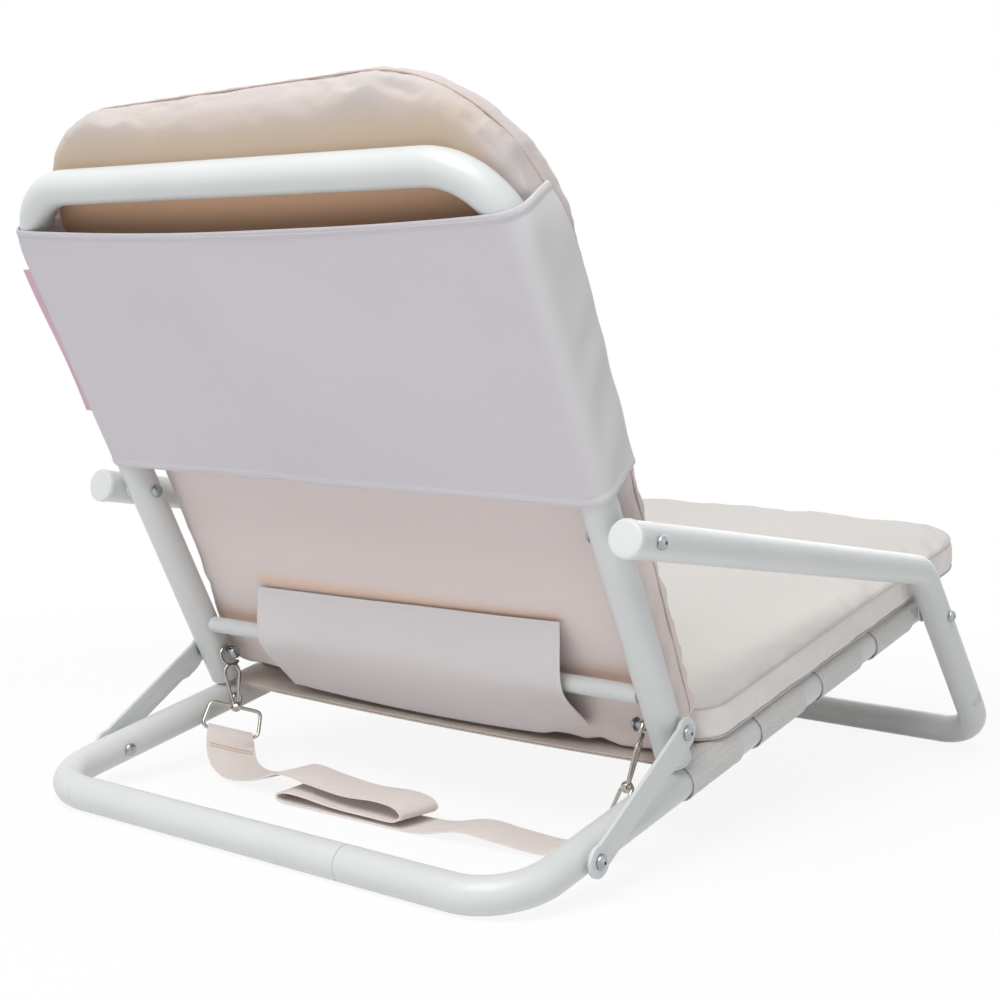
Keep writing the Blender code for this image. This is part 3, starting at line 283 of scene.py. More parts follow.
# Shader maths
class Wire:
    def __init__(self, tree, socket=None):
        self.tree = tree
        self.socket = socket

    def make(self, kind, settings, values, out=0):
        node = self.tree.nodes.new(kind)
        for key, value in settings.items():
            setattr(node, key, value)
        for key, value in values.items():
            if isinstance(value, Wire):
                self.tree.links.new(value.socket, node.inputs[key])
            else:
                node.inputs[key].default_value = value
        return Wire(self.tree, node.outputs[out])

    def maths(self, operation, first, second=0.0):
        return self.make("ShaderNodeMath", {"operation": operation}, {0: first, 1: second})

    def __add__(self, other):
        return self.maths("ADD", self, other)

    def __sub__(self, other):
        return self.maths("SUBTRACT", self, other)

    def __mul__(self, other):
        return self.maths("MULTIPLY", self, other)

    def __rsub__(self, other):
        return self.maths("SUBTRACT", other, self)

    __radd__ = __add__
    __rmul__ = __mul__

    def sine(self):
        return self.maths("SINE", self)

    def size(self):
        return self.maths("ABSOLUTE", self)

    def over(self, level, soft):
        # 0 below level, 1 above it, with a soft edge
        return self.make("ShaderNodeMapRange", {"interpolation_type": "SMOOTHSTEP"},
                         {0: self, 1: level - soft, 2: level + soft, 3: 0.0, 4: 1.0})

    def between(self, first, last):
        # 1 from one (level, soft) edge to another
        return self.over(*first) * (1 - self.over(*last))

    def blend(self, low, high):
        # colour low where self is 0, high where it is 1
        fill = [v if isinstance(v, Wire) else (*v, 1) for v in (low, high)]
        return self.make("ShaderNodeMix", {"data_type": "RGBA"}, {0: self, 6: fill[0], 7: fill[1]}, 2)

    def grain(self, scale, detail=2.0, rough=0.5):
        return self.make("ShaderNodeTexNoise", {}, {"Vector": self, "Scale": scale, "Detail": detail,
                                                    "Roughness": rough})

    def parts(self):
        node = self.make("ShaderNodeSeparateXYZ", {}, {0: self})
        return [Wire(self.tree, s) for s in node.socket.node.outputs]


def newFinish(name, coords="Object", turn=(0, 0, 0)):
    material = bpy.data.materials.new(name)
    material.use_nodes = True
    tree = material.node_tree
    start = Wire(tree)
    spot = start.make("ShaderNodeTexCoord", {}, {}, 3 if coords == "Object" else 2)
    if any(turn):
        spot = start.make("ShaderNodeMapping", {}, {"Vector": spot, "Rotation": turn})
    return material, spot


def dress(material, colour, roughness, height, bump, **fixed):
    tree = material.node_tree
    skin = tree.nodes["Principled BSDF"]
    strength, distance = bump
    raised = height.make("ShaderNodeBump", {}, {
        "Strength": strength, "Distance": distance, "Height": height})
    for socket, value in (("Base Color", colour), ("Roughness", roughness), ("Normal", raised)):
        tree.links.new(value.socket, skin.inputs[socket])
    for socket, value in fixed.items():
        skin.inputs[socket.replace("_", " ")].default_value = value
    return material


def paintFinish():
    look = {"base": (0.70, 0.72, 0.715), "shade": (0.675, 0.695, 0.69), "rub": (0.58, 0.60, 0.595)}
    material, spot = newFinish("white_paint_coat")
    broad = spot.grain(11, 3).over(0.52, 0.2)
    rubbed = (spot.grain(46, 5, 0.62) * spot.grain(9, 2)).over(0.43, 0.03)
    speck = 1 - spot.make("ShaderNodeTexVoronoi", {}, {"Vector": spot, "Scale": 62.0}).over(0.022, 0.006)
    colour = speck.blend(rubbed.blend(broad.blend(look["base"], look["shade"]), look["rub"]), look["rub"])
    roughness = 0.33 + spot.grain(30, 3) * 0.10 + rubbed * 0.16
    peel = spot.grain(700, 2)
    return dress(material, colour, roughness, peel, (0.10, 0.0002), Coat_Weight=0.12, Coat_Roughness=0.2)


def plasticFinish():
    look = {"base": (0.78, 0.80, 0.79), "shade": (0.74, 0.76, 0.75)}
    material, spot = newFinish("white_moulded_plastic")
    broad = spot.grain(40, 3)
    return dress(material, broad.blend(look["base"], look["shade"]), 0.42 + broad * 0.12,
                 spot.grain(1600, 2), (0.12, 0.0001))


def metalFinish(name, base, shade, shine):
    material, spot = newFinish(name)
    # clouds of the darker second colour are painted dark reflection on the bright plating
    cloudy = spot.grain(160, 4, 0.6)
    scratch = spot.make("ShaderNodeMapping", {}, {"Vector": spot, "Scale": (3000, 260, 260)}).grain(1, 2)
    return dress(material, cloudy.blend(base, shade), shine + cloudy * 0.14, scratch, (0.08, 0.00005),
                 Metallic=1.0)


def clothFinish(name, look, turn=(0, 0, 0), coords="Object"):
    material, spot = newFinish(name, coords, turn)
    x, y, z = spot.parts()
    beat = 2 * math.pi / look["thread"]
    weave = (x * beat).sine() * (y * beat).sine()
    fleck = spot.grain(850, 2)
    broad = spot.grain(5.5, 3).over(0.5, 0.25)
    colour = broad.blend(look["base"], look["shade"])
    colour = (fleck.over(0.55, 0.2) * 0.30).blend(colour, look["fleck"])
    if "paintedShadeTone" in look:
        # painted light and shade: paler low down as painted light, painted orange bounce light in and just
        # above the slot below the top tube, painted orange shade in that slot and beside the crossbar, and a
        # painted shadow line above the flap
        along, off = y - look["from"][0], z - look["from"][1]
        # painted light: the cover is made paler low down
        colour = (1 - along.over(*look["paleTo"])).blend(colour, look["pale"])
        rear = along.over(*look["slotFrom"]) * (1 - off.over(*look["slotDeep"])) * x.over(*look["slotRight"])
        # painted orange bounce light over the slot and just above the top tube
        colour = (rear * (1 - along.over(*look["paintedBounceTo"])) * look["paintedBounceShare"]).blend(colour, look["paintedBounce"])
        # painted orange shade in the slot between the top tube and the panel
        slot = rear * (1 - along.over(*look["slotTo"]))
        besideFlap = (x - look["flapMiddle"]).size().over(*look["flapHalf"])
        # painted shadow line just above the flap's top edge, across the flap's width
        sewn = along.between(*look["sewn"]) * (1 - besideFlap) * look["sewnShare"]
        # painted orange shade beside the crossbar, outside the flap and towards the rear
        bar = along.between(*look["bar"]) * x.size().over(*look["barFrom"]) * look["barShare"]
        bar = bar * (1 - off.over(*look["barDeep"]))
        paintedShadeMask = spot.maths("MAXIMUM", spot.maths("MAXIMUM", slot, sewn), bar)
        colour = paintedShadeMask.blend(colour, look["paintedShadeTone"])
        # the front face takes one plain colour, covering the painted light and shade
        colour = off.over(*look["frontFrom"]).blend(colour, look["front"])
    # painted light: the panel is made lighter where it wraps round the right upright
    if "wrap" in look:
        colour = x.over(*look["wrapFrom"]).blend(colour, look["wrap"])
    # painted light: the seat cushion is made lighter below its top face, on its sides and underside
    if "side" in look:
        colour = (1 - (z - look["from"][1]).over(*look["sideTo"])).blend(colour, look["side"])
    height = weave * 0.5 + fleck * 0.7
    return dress(material, colour, 0.70 + fleck * 0.16, height, (look["raise"], 0.0003),
                 Sheen_Weight=0.12, Sheen_Roughness=0.5)


def meshFinish():
    look = {"base": (0.70, 0.685, 0.67), "gap": (0.43, 0.41, 0.395), "light": (0.78, 0.77, 0.755),
            # the gap colour is painted shade in the weave's openings, the web colour painted orange shade
            # under the cushion
            "web": (0.72, 0.58, 0.49), "webEnds": (0.4175, 0.4995, 0.9255), "yarn": 0.0016, "pick": 0.0024}
    material, spot = newFinish("sling_mesh_weave", "UV")
    x, y, _ = spot.parts()
    yarn = (x * (math.pi / look["yarn"])).sine().size()
    crossing = (y * (math.pi / look["pick"])).sine().size()
    gap = (1 - yarn).over(0.62, 0.2) * (1 - crossing).over(0.45, 0.25)
    streak = spot.make("ShaderNodeMapping", {}, {"Vector": spot, "Scale": (640, 14, 1)}).grain(1, 3)
    over, under, far = look["webEnds"]
    web = 1 - x.over(over, 0.003) + x.over(under, 0.003) * (1 - x.over(far, 0.003))
    # painted orange shade: the web between the rails, under the cushion, is tinted
    yarns = (web * 0.6).blend(streak.over(0.5, 0.25).blend(look["base"], look["light"]), look["web"])
    # painted shade in the openings between yarns, weaker on the web
    colour = (gap * (1 - web * 0.6)).blend(yarns, look["gap"])
    return dress(material, colour, 0.66 + streak * 0.2, yarn + crossing * 0.5, (0.45, 0.0004))


def webbingFinish():
    look = {"base": (0.87, 0.80, 0.765), "shade": (0.83, 0.75, 0.71), "rib": 0.0019, "yarn": 0.0011}
    material, spot = newFinish("strap_webbing_weave", "UV")
    x, y, _ = spot.parts()
    rib = (y * (math.pi / look["rib"])).sine().size()
    yarn = (x * (math.pi / look["yarn"])).sine().size()
    cloudy = spot.grain(60, 4)
    # random clouds, and painted shade darkening the rib grooves
    colour = (cloudy.over(0.5, 0.25) * 0.7 + (1 - rib) * 0.2).blend(look["base"], look["shade"])
    return dress(material, colour, 0.72 + cloudy * 0.14, rib + yarn * 0.5, (0.25, 0.0003),
                 Sheen_Weight=0.15, Sheen_Roughness=0.5)


def ribbonFinish():
    look = {"base": (0.70, 0.47, 0.555), "shade": (0.64, 0.41, 0.50), "rib": 0.0012}
    material, spot = newFinish("tag_ribbon_satin", "UV")
    y = spot.parts()[1]
    rib = (y * (math.pi / look["rib"])).sine().size()
    cloudy = spot.grain(120, 3)
    colour = cloudy.blend(look["base"], look["shade"])
    return dress(material, colour, 0.45 + cloudy * 0.15, rib, (0.3, 0.0002))


backTurn = (-math.atan2(backRun.z, backRun.y), 0, 0)   # lays the weave along the back
seatTurn = (railAngle, 0, 0)
linkSpot = Vector((0, *chair["linkHead"]))
finishes = {
    "paint": paintFinish(),
    "plastic": plasticFinish(),
    # both platings are darkened, their second colour most, as painted dark reflection
    "zinc": metalFinish("bright_zinc_plate", (0.46, 0.50, 0.52), (0.28, 0.31, 0.33), 0.20),
    "nickel": metalFinish("bright_nickel_plate", (0.60, 0.565, 0.52), (0.33, 0.30, 0.265), 0.14),
    "backCloth": clothFinish("back_cover_canvas", {
        "base": (0.605, 0.55, 0.535), "shade": (0.575, 0.52, 0.505), "fleck": (0.70, 0.645, 0.625),
        # the pale colour is painted light low down, the two orange colours after it are painted bounce light
        # and painted shade, front is the front face's plain colour
        "thread": 0.0011, "raise": 0.20, "pale": (0.81, 0.715, 0.695), "paintedBounce": (0.655, 0.495, 0.35),
        "paintedShadeTone": (0.86, 0.54, 0.35), "front": (0.71, 0.66, 0.635),
        # edges of those zones as (level, soft)
        "paleTo": (0.30, 0.12), "frontFrom": (0.040, 0.004), "slotFrom": (0.365, 0.010),
        "slotTo": (0.414, 0.010), "slotDeep": (0.026, 0.008), "slotRight": (-0.195, 0.02),
        "paintedBounceTo": (0.445, 0.018), "paintedBounceShare": 0.8, "sewn": ((0.069, 0.003), (0.078, 0.006)),
        "sewnShare": 0.6, "flapMiddle": -0.003,
        "flapHalf": (0.148, 0.006), "bar": ((0.016, 0.010), (0.038, 0.010)), "barShare": 0.5,
        "barFrom": (0.150, 0.006), "barDeep": (0.018, 0.006),
        "from": (linkSpot.dot(backRun), linkSpot.dot(backFront))}, backTurn),
    "seatCloth": clothFinish("seat_cover_canvas", {
        "base": (0.69, 0.665, 0.635), "shade": (0.66, 0.635, 0.605), "fleck": (0.76, 0.735, 0.71),
        # the side colour is painted light on the seat cushion's sides and underside
        "thread": 0.0011, "raise": 0.20, "side": (0.89, 0.85, 0.825), "sideTo": (0.0386, 0.0012),
        "from": (0, Vector((0, *chair["rearAxis"])).dot(railUp))}, seatTurn),
    "panelCloth": clothFinish("sleeve_panel_canvas", {
        # the lilac-grey tone is painted cool shade on the cushion's blush cloth, and the wrap colour is
        # painted light round the right upright
        "base": (0.635, 0.605, 0.65), "shade": (0.61, 0.58, 0.625), "fleck": (0.71, 0.685, 0.72),
        "thread": 0.0010, "raise": 0.16, "wrap": (0.74, 0.73, 0.73), "wrapFrom": (0.512, 0.009),
        }, coords="UV"),
    "flapCloth": clothFinish("low_flap_canvas", {
        # the lilac-grey tint is painted cool shade on the cushion's blush cloth
        "base": (0.735, 0.695, 0.70), "shade": (0.70, 0.655, 0.66), "fleck": (0.80, 0.765, 0.77),
        "thread": 0.0010, "raise": 0.16}, coords="UV"),
    "mesh": meshFinish(),
    "webbing": webbingFinish(),
    "ribbon": ribbonFinish(),
}
# threads: pitch of the twist, then base, shade and fleck
threads = {
    "seamThread": ("cover_seam", 0.0008, (0.58, 0.455, 0.40), (0.52, 0.40, 0.35), (0.70, 0.58, 0.53)),
    "softThread": ("seat_seam", 0.0008, (0.64, 0.585, 0.545), (0.60, 0.545, 0.505), (0.72, 0.67, 0.63)),
    "strapThread": ("strap_seam", 0.0008, (0.72, 0.50, 0.38), (0.66, 0.45, 0.34), (0.78, 0.58, 0.46)),
    "paleThread": ("hem_stitch", 0.0006, (0.80, 0.755, 0.735), (0.75, 0.70, 0.68), (0.86, 0.82, 0.80)),
}
for thread, (label, pitch, base, shade, fleck) in threads.items():
    finishes[thread] = clothFinish(label + "_thread", {
        "base": base, "shade": shade, "fleck": fleck, "thread": pitch, "raise": 0.25})
print("finishes made:", len(finishes))

setCamera(cameraView)


# Bent tubes
def buildTubes():
    spec = {"baseBend": 0.045, "jointX": -0.0865, "jointGap": 0.0004, "armBend": 0.032, "footBend": 0.036,
            "backBend": 0.056, "backLength": 0.4137, "uprightEnd": -0.024997,
            "barRadius": 0.0065, "barAlong": 0.0275, "barHalf": 0.2087}
    r = chair["tubeRadius"]
    rear = Vector((0, *chair["rearAxis"]))
    for side, sign in sides.items():
        railTop = seatSpot(sign * chair["railX"], chair["railEnd"], 0)
        corner = rear + Vector((sign * chair["railX"], 0, 0))
        joint = rear + Vector((spec["jointX"] + sign * spec["jointGap"] / 2, 0, 0))
        tube = wirePiece(roundedPath([railTop, corner, joint], spec["baseBend"]), r, roundness=8)
        settled(tube, "base_tube_smooth_" + side, "seat", "paint", "base_tube_" + side)
    half = [chair["armEnd"], chair["armCorner"], chair["foot"]]
    armPoints = [(chair["armX"], *p) for p in half] + [(-chair["armX"], *p) for p in reversed(half)]
    bends = [0, spec["armBend"], spec["footBend"], spec["footBend"], spec["armBend"], 0]
    arms = wirePiece(roundedPath(armPoints, bends), r, roundness=8)
    settled(arms, "arm_tube_smooth", "arms", "paint", "arm_tube")
    backPoints = [backSpot(s * chair["railX"], a, 0) for s, a in (
        (1, spec["uprightEnd"]), (1, spec["backLength"]), (-1, spec["backLength"]), (-1, spec["uprightEnd"]))]
    back = wirePiece(roundedPath(backPoints, spec["backBend"]), r, roundness=8)
    settled(back, "back_tube_smooth", "back", "paint", "back_tube")
    barEnds = [backSpot(s * spec["barHalf"], spec["barAlong"], 0) for s in (1, -1)]
    bar = wirePiece(barEnds, spec["barRadius"], roundness=6)
    settled(bar, "back_crossbar_smooth", "back", "paint", "back_crossbar")
    print("tubes bent")


# Caps, plugs, washers and bolts
def buildFittings():
    spec = {"capDeep": 0.0156, "bore": 0.0110, "head": 0.0051, "headHigh": 0.0034, "shank": 0.0030,
            "uprightEnd": -0.025297, "plugDeep": 0.0211, "railPlugDeep": 0.009, "seat": 0.0003, "lid": 0.3,
            "washerBore": 0.0033, "collar": (0.0394, 0.0409, 0.0074), "socket": (0.42, 0.20),
            # rims as (along, radius past the tube), the bolt head as shares of its height and radius
            "capRim": [(0, 0.0005), (0.0020, 0.0005), (0.0032, -0.0001), (0.0039, -0.0013),
                       (0.0040, -0.0024)],
            "plugRim": [(0, 0), (0.0012, 0), (0.0018, -0.0006), (0.0020, -0.0014)],
            "dome": [(0.0, 1.0), (0.27, 1.0), (0.52, 0.93), (0.76, 0.76), (0.93, 0.50), (1.0, 0.24)]}
    r, dome = chair["tubeRadius"], spec["dome"]
    armRun = (Vector((0, *chair["armEnd"])) - Vector((0, *chair["armCorner"]))).normalized()
    for side, sign in sides.items():
        armEnd = Vector((sign * chair["armX"], *chair["armEnd"])) + armRun * spec["seat"]
        railEnd = seatSpot(sign * chair["railX"], chair["railEnd"] + spec["seat"], 0)
        uprightEnd = backSpot(sign * chair["railX"], spec["uprightEnd"], 0)
        for node, body, rim, deep, place, axis, facets in (
                ("arm_cap_", "arms", spec["capRim"], spec["capDeep"], armEnd, armRun, 48),
                ("rail_plug_", "seat", spec["plugRim"], spec["railPlugDeep"], railEnd, railRun, 40),
                ("upright_plug_", "back", spec["plugRim"], spec["plugDeep"], uprightEnd, -backRun, 40)):
            profile = [(-deep, spec["bore"]), (0, spec["bore"])] + [(a, r + past) for a, past in rim]
            plug = turnedPiece(profile + [(rim[-1][0], r * spec["lid"])], place, axis, facets)
            settled(plug, node + "round_" + side, body, "plastic", node + side)
        for node, body in (("arm_washer_", "arms"), ("leg_washer_", "arms"), ("link_washer_", "seat")):
            low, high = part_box(node + side)
            middle = (low + high) / 2
            washer = ringPiece((high.z - low.z) / 2, spec["washerBore"], (low.x, middle.y, middle.z),
                               (1, 0, 0), high.x - low.x)
            settled(washer, node + "round_" + side, body, "plastic", node + side)
        for node, body, inHead, outHead in (
                ("arm_bolt_", "arms", False, True), ("back_bolt_", "back", True, False),
                ("leg_pivot_bolt_", "arms", True, True), ("link_foot_bolt_", "seat", True, True),
                ("link_head_bolt_", "back", True, True), ("band_screw_", "seat", True, False)):
            low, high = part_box(node + side)
            middle = (low + high) / 2
            length = high.x - low.x
            start = low.x if sign > 0 else high.x
            head, tall, shank = spec["head"], spec["headHigh"], spec["shank"]
            profile = [(0, shank)]
            if inHead:
                profile = [(tall * (1 - h), head * w) for h, w in reversed(dome)] + [(tall, shank)]
            if node == "link_head_bolt_":
                inner, outer, wide = spec["collar"]
                profile += [(inner, shank), (inner, wide), (outer, wide), (outer, shank)]
            if outHead:
                profile += [(length - tall, shank)] + [(length - tall * (1 - h), head * w) for h, w in dome]
                profile += [(length - tall * spec["socket"][0], head * spec["socket"][1])]
            else:
                profile += [(length, shank)]
            bolt = turnedPiece(profile, (start, middle.y, middle.z), (sign, 0, 0), 28)
            settled(bolt, node + "domed_" + side, body, "zinc", node + side)
    nodes["base_spigot"].data.materials.clear()
    nodes["base_spigot"].data.materials.append(finishes["zinc"])
    print("fittings turned")


# Flat links with softened edges
def buildLinks():
    for side in sides:
        link = copiedNode("fold_link_" + side)
        editAll(link)
        bpy.ops.mesh.dissolve_limited(angle_limit=math.radians(2))
        bpy.ops.object.mode_set(mode="OBJECT")
        applied(link, "BEVEL", width=0.0007, segments=3, limit_method="ANGLE", angle_limit=math.radians(40))
        smoothed(link, 30)
        settled(link, "fold_link_soft_" + side, "links", "paint", "fold_link_" + side)
    print("links softened")


# Wire loops that carry the strap, and the hooks they hang on
strapLoop = {
    "ball": (0.193493, 0.151421, 0.049259), "lean": (-0.0050, 0.0076), "tall": 0.0217,
    "turn": 43.9, "tilt": 14.0, "topHalf": 0.0210, "baseHalf": 0.0235, "corner": 0.0045,
    "wire": 0.0015, "castGrain": 0.00036,
}


def widthWay(turn, tilt):
    turn, tilt = math.radians(turn), math.radians(tilt)
    return Vector((-math.sin(turn) * math.cos(tilt), -math.cos(turn) * math.cos(tilt), -math.sin(tilt)))


def loopBase():
    across = widthWay(strapLoop["turn"], strapLoop["tilt"])
    leanX, leanY = strapLoop["lean"]
    hang = Vector((leanX, leanY, -math.sqrt(strapLoop["tall"] ** 2 - leanX ** 2 - leanY ** 2)))
    hang = (hang - across * hang.dot(across)).normalized() * strapLoop["tall"]
    return Vector(strapLoop["ball"]) + hang


def buildHooks():
    across = widthWay(strapLoop["turn"], strapLoop["tilt"])
    top, base = Vector(strapLoop["ball"]), loopBase()
    corners = [top - across * strapLoop["topHalf"], base - across * strapLoop["baseHalf"],
               base + across * strapLoop["baseHalf"], top + across * strapLoop["topHalf"]]
    for side, sign in sides.items():
        points = [Vector((sign * p.x, p.y, p.z)) for p in corners]
        loop = wirePiece(roundedPath(points, strapLoop["corner"], 9, True), strapLoop["wire"], True, 5)
        settled(loop, "strap_loop_wire_" + side, "strap", "nickel", "strap_loop_" + side)
        for node, body in (("snap_hook_", "strap"), ("hook_gate_", "gate_" + side)):
            cast = copiedNode(node + side)
            cast.data.remesh_voxel_size = strapLoop["castGrain"]
            pick(cast)
            bpy.ops.object.voxel_remesh()
            applied(cast, "SMOOTH", factor=0.5, iterations=6)
            smoothed(cast, 60)
            settled(cast, node + "cast_" + side, body, "nickel", node + side)
    print("hooks cast")


# Slung bands: mesh sewn round both rails, its web over their inner shoulders
sling = {"width": 0.068, "pitch": 0.0975, "front": 0.5554, "cloth": 0.0010, "reach": 0.01345,
         "shoulder": 60, "lead": 6.8, "sag": 0.0034, "hem": 0.006, "hemRise": 0.00025}


def webTop(x):
    inner = chair["railX"] - sling["reach"] * math.cos(math.radians(sling["shoulder"] - sling["lead"]))
    level = sling["reach"] * math.sin(math.radians(sling["shoulder"] + sling["lead"]))
    return level - sling["sag"] * max(0.0, 1 - (x / inner) ** 2) + sling["cloth"] / 2


def buildBands():
    spec, reach = sling, sling["reach"]
    first, last = spec["shoulder"] + spec["lead"], spec["shoulder"] + 360 - spec["lead"]
    arcs = [math.radians(first + (last - first) * k / 34) for k in range(35)]
    half = [(chair["railX"] - reach * math.cos(t), reach * math.sin(t)) for t in arcs]
    (overX, overOff), (underX, underOff) = half[0], half[-1]
    loop = [(overX * (k / 16 - 1), overOff) for k in range(1, 32)] + half
    loop += [(underX * (1 - k / 16), underOff) for k in range(1, 32)] + [(-x, z) for x, z in reversed(half)]
    lengths = runsAlong(loop + loop[:1])
    count = len(loop)
    for number in range(4):
        high = spec["front"] - number * spec["pitch"]
        low = high - spec["width"]

        def spotAt(u, v):
            k = round(u * count)
            x, off = loop[k % count]
            fromEdge = min(v, 1 - v) * spec["width"]
            dip = spec["sag"] * max(0.0, 1 - (x / underX) ** 2)
            swell = spec["hemRise"] * max(0.0, 1 - fromEdge / spec["hem"])
            turnX = math.copysign(chair["railX"], x)
            if abs(x) > overX:
                away = Vector((x - turnX, off)).normalized() * swell
                x, off = x + away.x, off + away.y
            return seatSpot(x, low + (high - low) * v, off - dip), (lengths[k], spec["width"] * v)

        band = sheetPiece(count, 16, spotAt, spec["cloth"], joinEnds=True)
        node = "seat_band_%d" % (number + 1)
        settled(band, node + "_mesh", "seat", "mesh", node)
    print("bands slung")


# Cushions: a rounded slab, remeshed, blown up as cloth with its seams held, then creased
plainPad = {
    "swell": 0.0, "pinch": 0.0, "roll": 0.0, "droop": (0.0, 0.0), "droopAt": 0.0, "droopHalf": 1.0,
    "askew": 0.0, "askewFrom": 0.0, "spare": 0.02, "pressure": 3.0, "cap": 0.006, "steps": 20, "fill": 0.7,
}
backPad = {
    **plainPad, "across": (-0.2255, 0.2275), "ends": (-0.026, 0.4645), "floor": 0.01324, "side": 0.0245,
    "corners": {"highLeft": 0.090, "highRight": 0.127, "lowLeft": 0.024, "lowRight": 0.024},
    "rearRound": 0.012, "frontRound": 0.006, "crown": 0.006, "fold": 0.005, "pucker": 0.0015, "bulge": 0.003,
    "restEase": 0.005, "swell": 0.003, "pinch": 0.0032, "roll": 0.0040, "droop": (-0.0235, -0.0095),
    "droopAt": -0.05, "droopHalf": 0.26, "askew": 0.03142627, "askewFrom": 0.027, "pins": (0.0185,),
    "voxel": 0.0048, "hold": 0.0040, "seams": (0.0185,), "seamInset": 0.0026, "welt": 0.0007,
    "thread": "seamThread",
}
seatPad = {
    **plainPad, "across": (-0.2310, 0.2310), "ends": (0.2306, 0.699), "floor": 0.01464, "side": 0.0260,
    "corners": {"highLeft": 0.062, "highRight": 0.062, "lowLeft": 0.022, "lowRight": 0.022},
    "rearRound": 0.002, "frontRound": 0.002, "crown": 0.009, "fold": 0.0045, "pucker": 0.0003, "bulge": 0.001,
    "restEase": 0.0015, "pins": (0.001, 0.025), "voxel": 0.0044, "hold": 0.0034, "seams": (0.0012, 0.0248),
    "seamInset": 0.0002, "welt": 0.0006, "thread": "softThread",
}
crease = {
    "folds": ((5, 17, 3.1), (9, 7, 8.7)), "foldFrom": 0.03,   # noise scales in x and y, and its layer
    "pitch": 70, "gapPitch": 14, "levelPitch": 3, "layer": 1.7, "fade": 0.022, "rearShare": 0.2,
    "wall": (0.15, 0.85), "wallGap": 0.006, "wallPitch": (0.7, 2, 5.3), "wallShare": 0.7,
    "seamReach": 0.02, "drawHalf": 0.0042, "drawFade": 0.006, "rollAt": 0.0265, "rollHalf": 0.006,
    "rollFade": 0.008, "rollFrom": 0.17, "rollEase": 0.04, "bulgeHalf": 0.86, "swellHalf": (0.18, 0.062),
    "swellAt": 0.03, "droopDeep": 0.8, "droopShape": 1.6, "droopReach": (0.05, 0.035),
}


def slabShape(spec):
    clearPick()
    low, high = spec["ends"]
    right, left = spec["across"]
    top = spec["floor"] + spec["side"]
    centre = Vector(((left + right) / 2, (low + high) / 2, spec["floor"]))
    bpy.ops.mesh.primitive_plane_add(size=1, location=centre)
    piece = bpy.context.object
    bpy.ops.object.transform_apply(location=True, rotation=True, scale=True)
    editAll(piece)
    bpy.ops.transform.resize(value=(left - right, high - low, 1), center_override=centre)
    for corner, radius in spec["corners"].items():
        place = Vector((left if corner.endswith("Left") else right,
                        high if corner.startswith("high") else low, 0))
        bpy.ops.object.mode_set(mode="OBJECT")
        for group in (piece.data.polygons, piece.data.edges):
            for part in group:
                part.select = False
        for vert in piece.data.vertices:
            vert.select = (vert.co.xy - place.xy).length < 1e-5
        bpy.ops.object.mode_set(mode="EDIT")
        bpy.ops.mesh.select_mode(type="VERT")
        bpy.ops.mesh.bevel(offset=radius, segments=14, affect="VERTICES", offset_type="OFFSET")
    bpy.ops.mesh.select_all(action="SELECT")
    bpy.ops.mesh.extrude_region_move(TRANSFORM_OT_translate={"value": (0, 0, spec["side"])})
    for level, radius in ((top, spec["frontRound"]), (spec["floor"], spec["rearRound"])):
        bpy.ops.object.mode_set(mode="OBJECT")
        for part in piece.data.polygons:
            part.select = False
        for vert in piece.data.vertices:
            vert.select = abs(vert.co.z - level) < 1e-5
        for edge in piece.data.edges:
            edge.select = all(abs(piece.data.vertices[k].co.z - level) < 1e-5 for k in edge.vertices)
        bpy.ops.object.mode_set(mode="EDIT")
        bpy.ops.mesh.select_mode(type="EDGE")
        bpy.ops.mesh.bevel(offset=radius, segments=5, affect="EDGES")
    bpy.ops.mesh.select_mode(type="VERT")
    facedOut(piece)
    piece.data.remesh_voxel_size = spec["voxel"]
    pick(piece)
    bpy.ops.object.voxel_remesh()
    return piece


def rimGap(spec, x, y):
    # distance in from the rounded outline
    low, high = spec["ends"]
    right, left = spec["across"]
    name = ("high" if y > (low + high) / 2 else "low") + ("Left" if x > 0 else "Right")
    corner = spec["corners"][name]
    edgeX = min(x - right, left - x)
    edgeY = min(y - low, high - y)
    if edgeX < corner and edgeY < corner:
        return corner - math.hypot(corner - edgeX, corner - edgeY)
    return min(edgeX, edgeY)


def blownUp(piece, spec):
    group = piece.vertex_groups.new(name="seams")
    rest = [v.co.copy() for v in piece.data.vertices]
    for k, co in enumerate(rest):
        level = min(abs(co.z - spec["floor"] - pin) for pin in spec["pins"])
        if rimGap(spec, co.x, co.y) < spec["hold"] and level < spec["hold"]:
            group.add([k], 1.0, "REPLACE")
    pick(piece)
    cloth = piece.modifiers.new("cloth", "CLOTH")
    cloth.collision_settings.use_collision = False
    cloth.settings.effector_weights.gravity = 0
    for key, value in {
            "quality": 6, "mass": 0.25, "tension_stiffness": 12, "compression_stiffness": 12,
            "shear_stiffness": 6, "bending_stiffness": 0.4, "shrink_min": -spec["spare"],
            "use_pressure": True, "uniform_pressure_force": spec["pressure"],
            "vertex_group_mass": "seams"}.items():
        setattr(cloth.settings, key, value)
    scene = bpy.context.scene
    for step in range(1, spec["steps"] + 1):
        scene.frame_set(step)
    bpy.ops.object.modifier_apply(modifier="cloth")
    scene.frame_set(1)
    for vert, start in zip(piece.data.vertices, rest):
        move = vert.co - start
        if move.length > spec["cap"]:
            vert.co = start + move * (spec["cap"] / move.length)


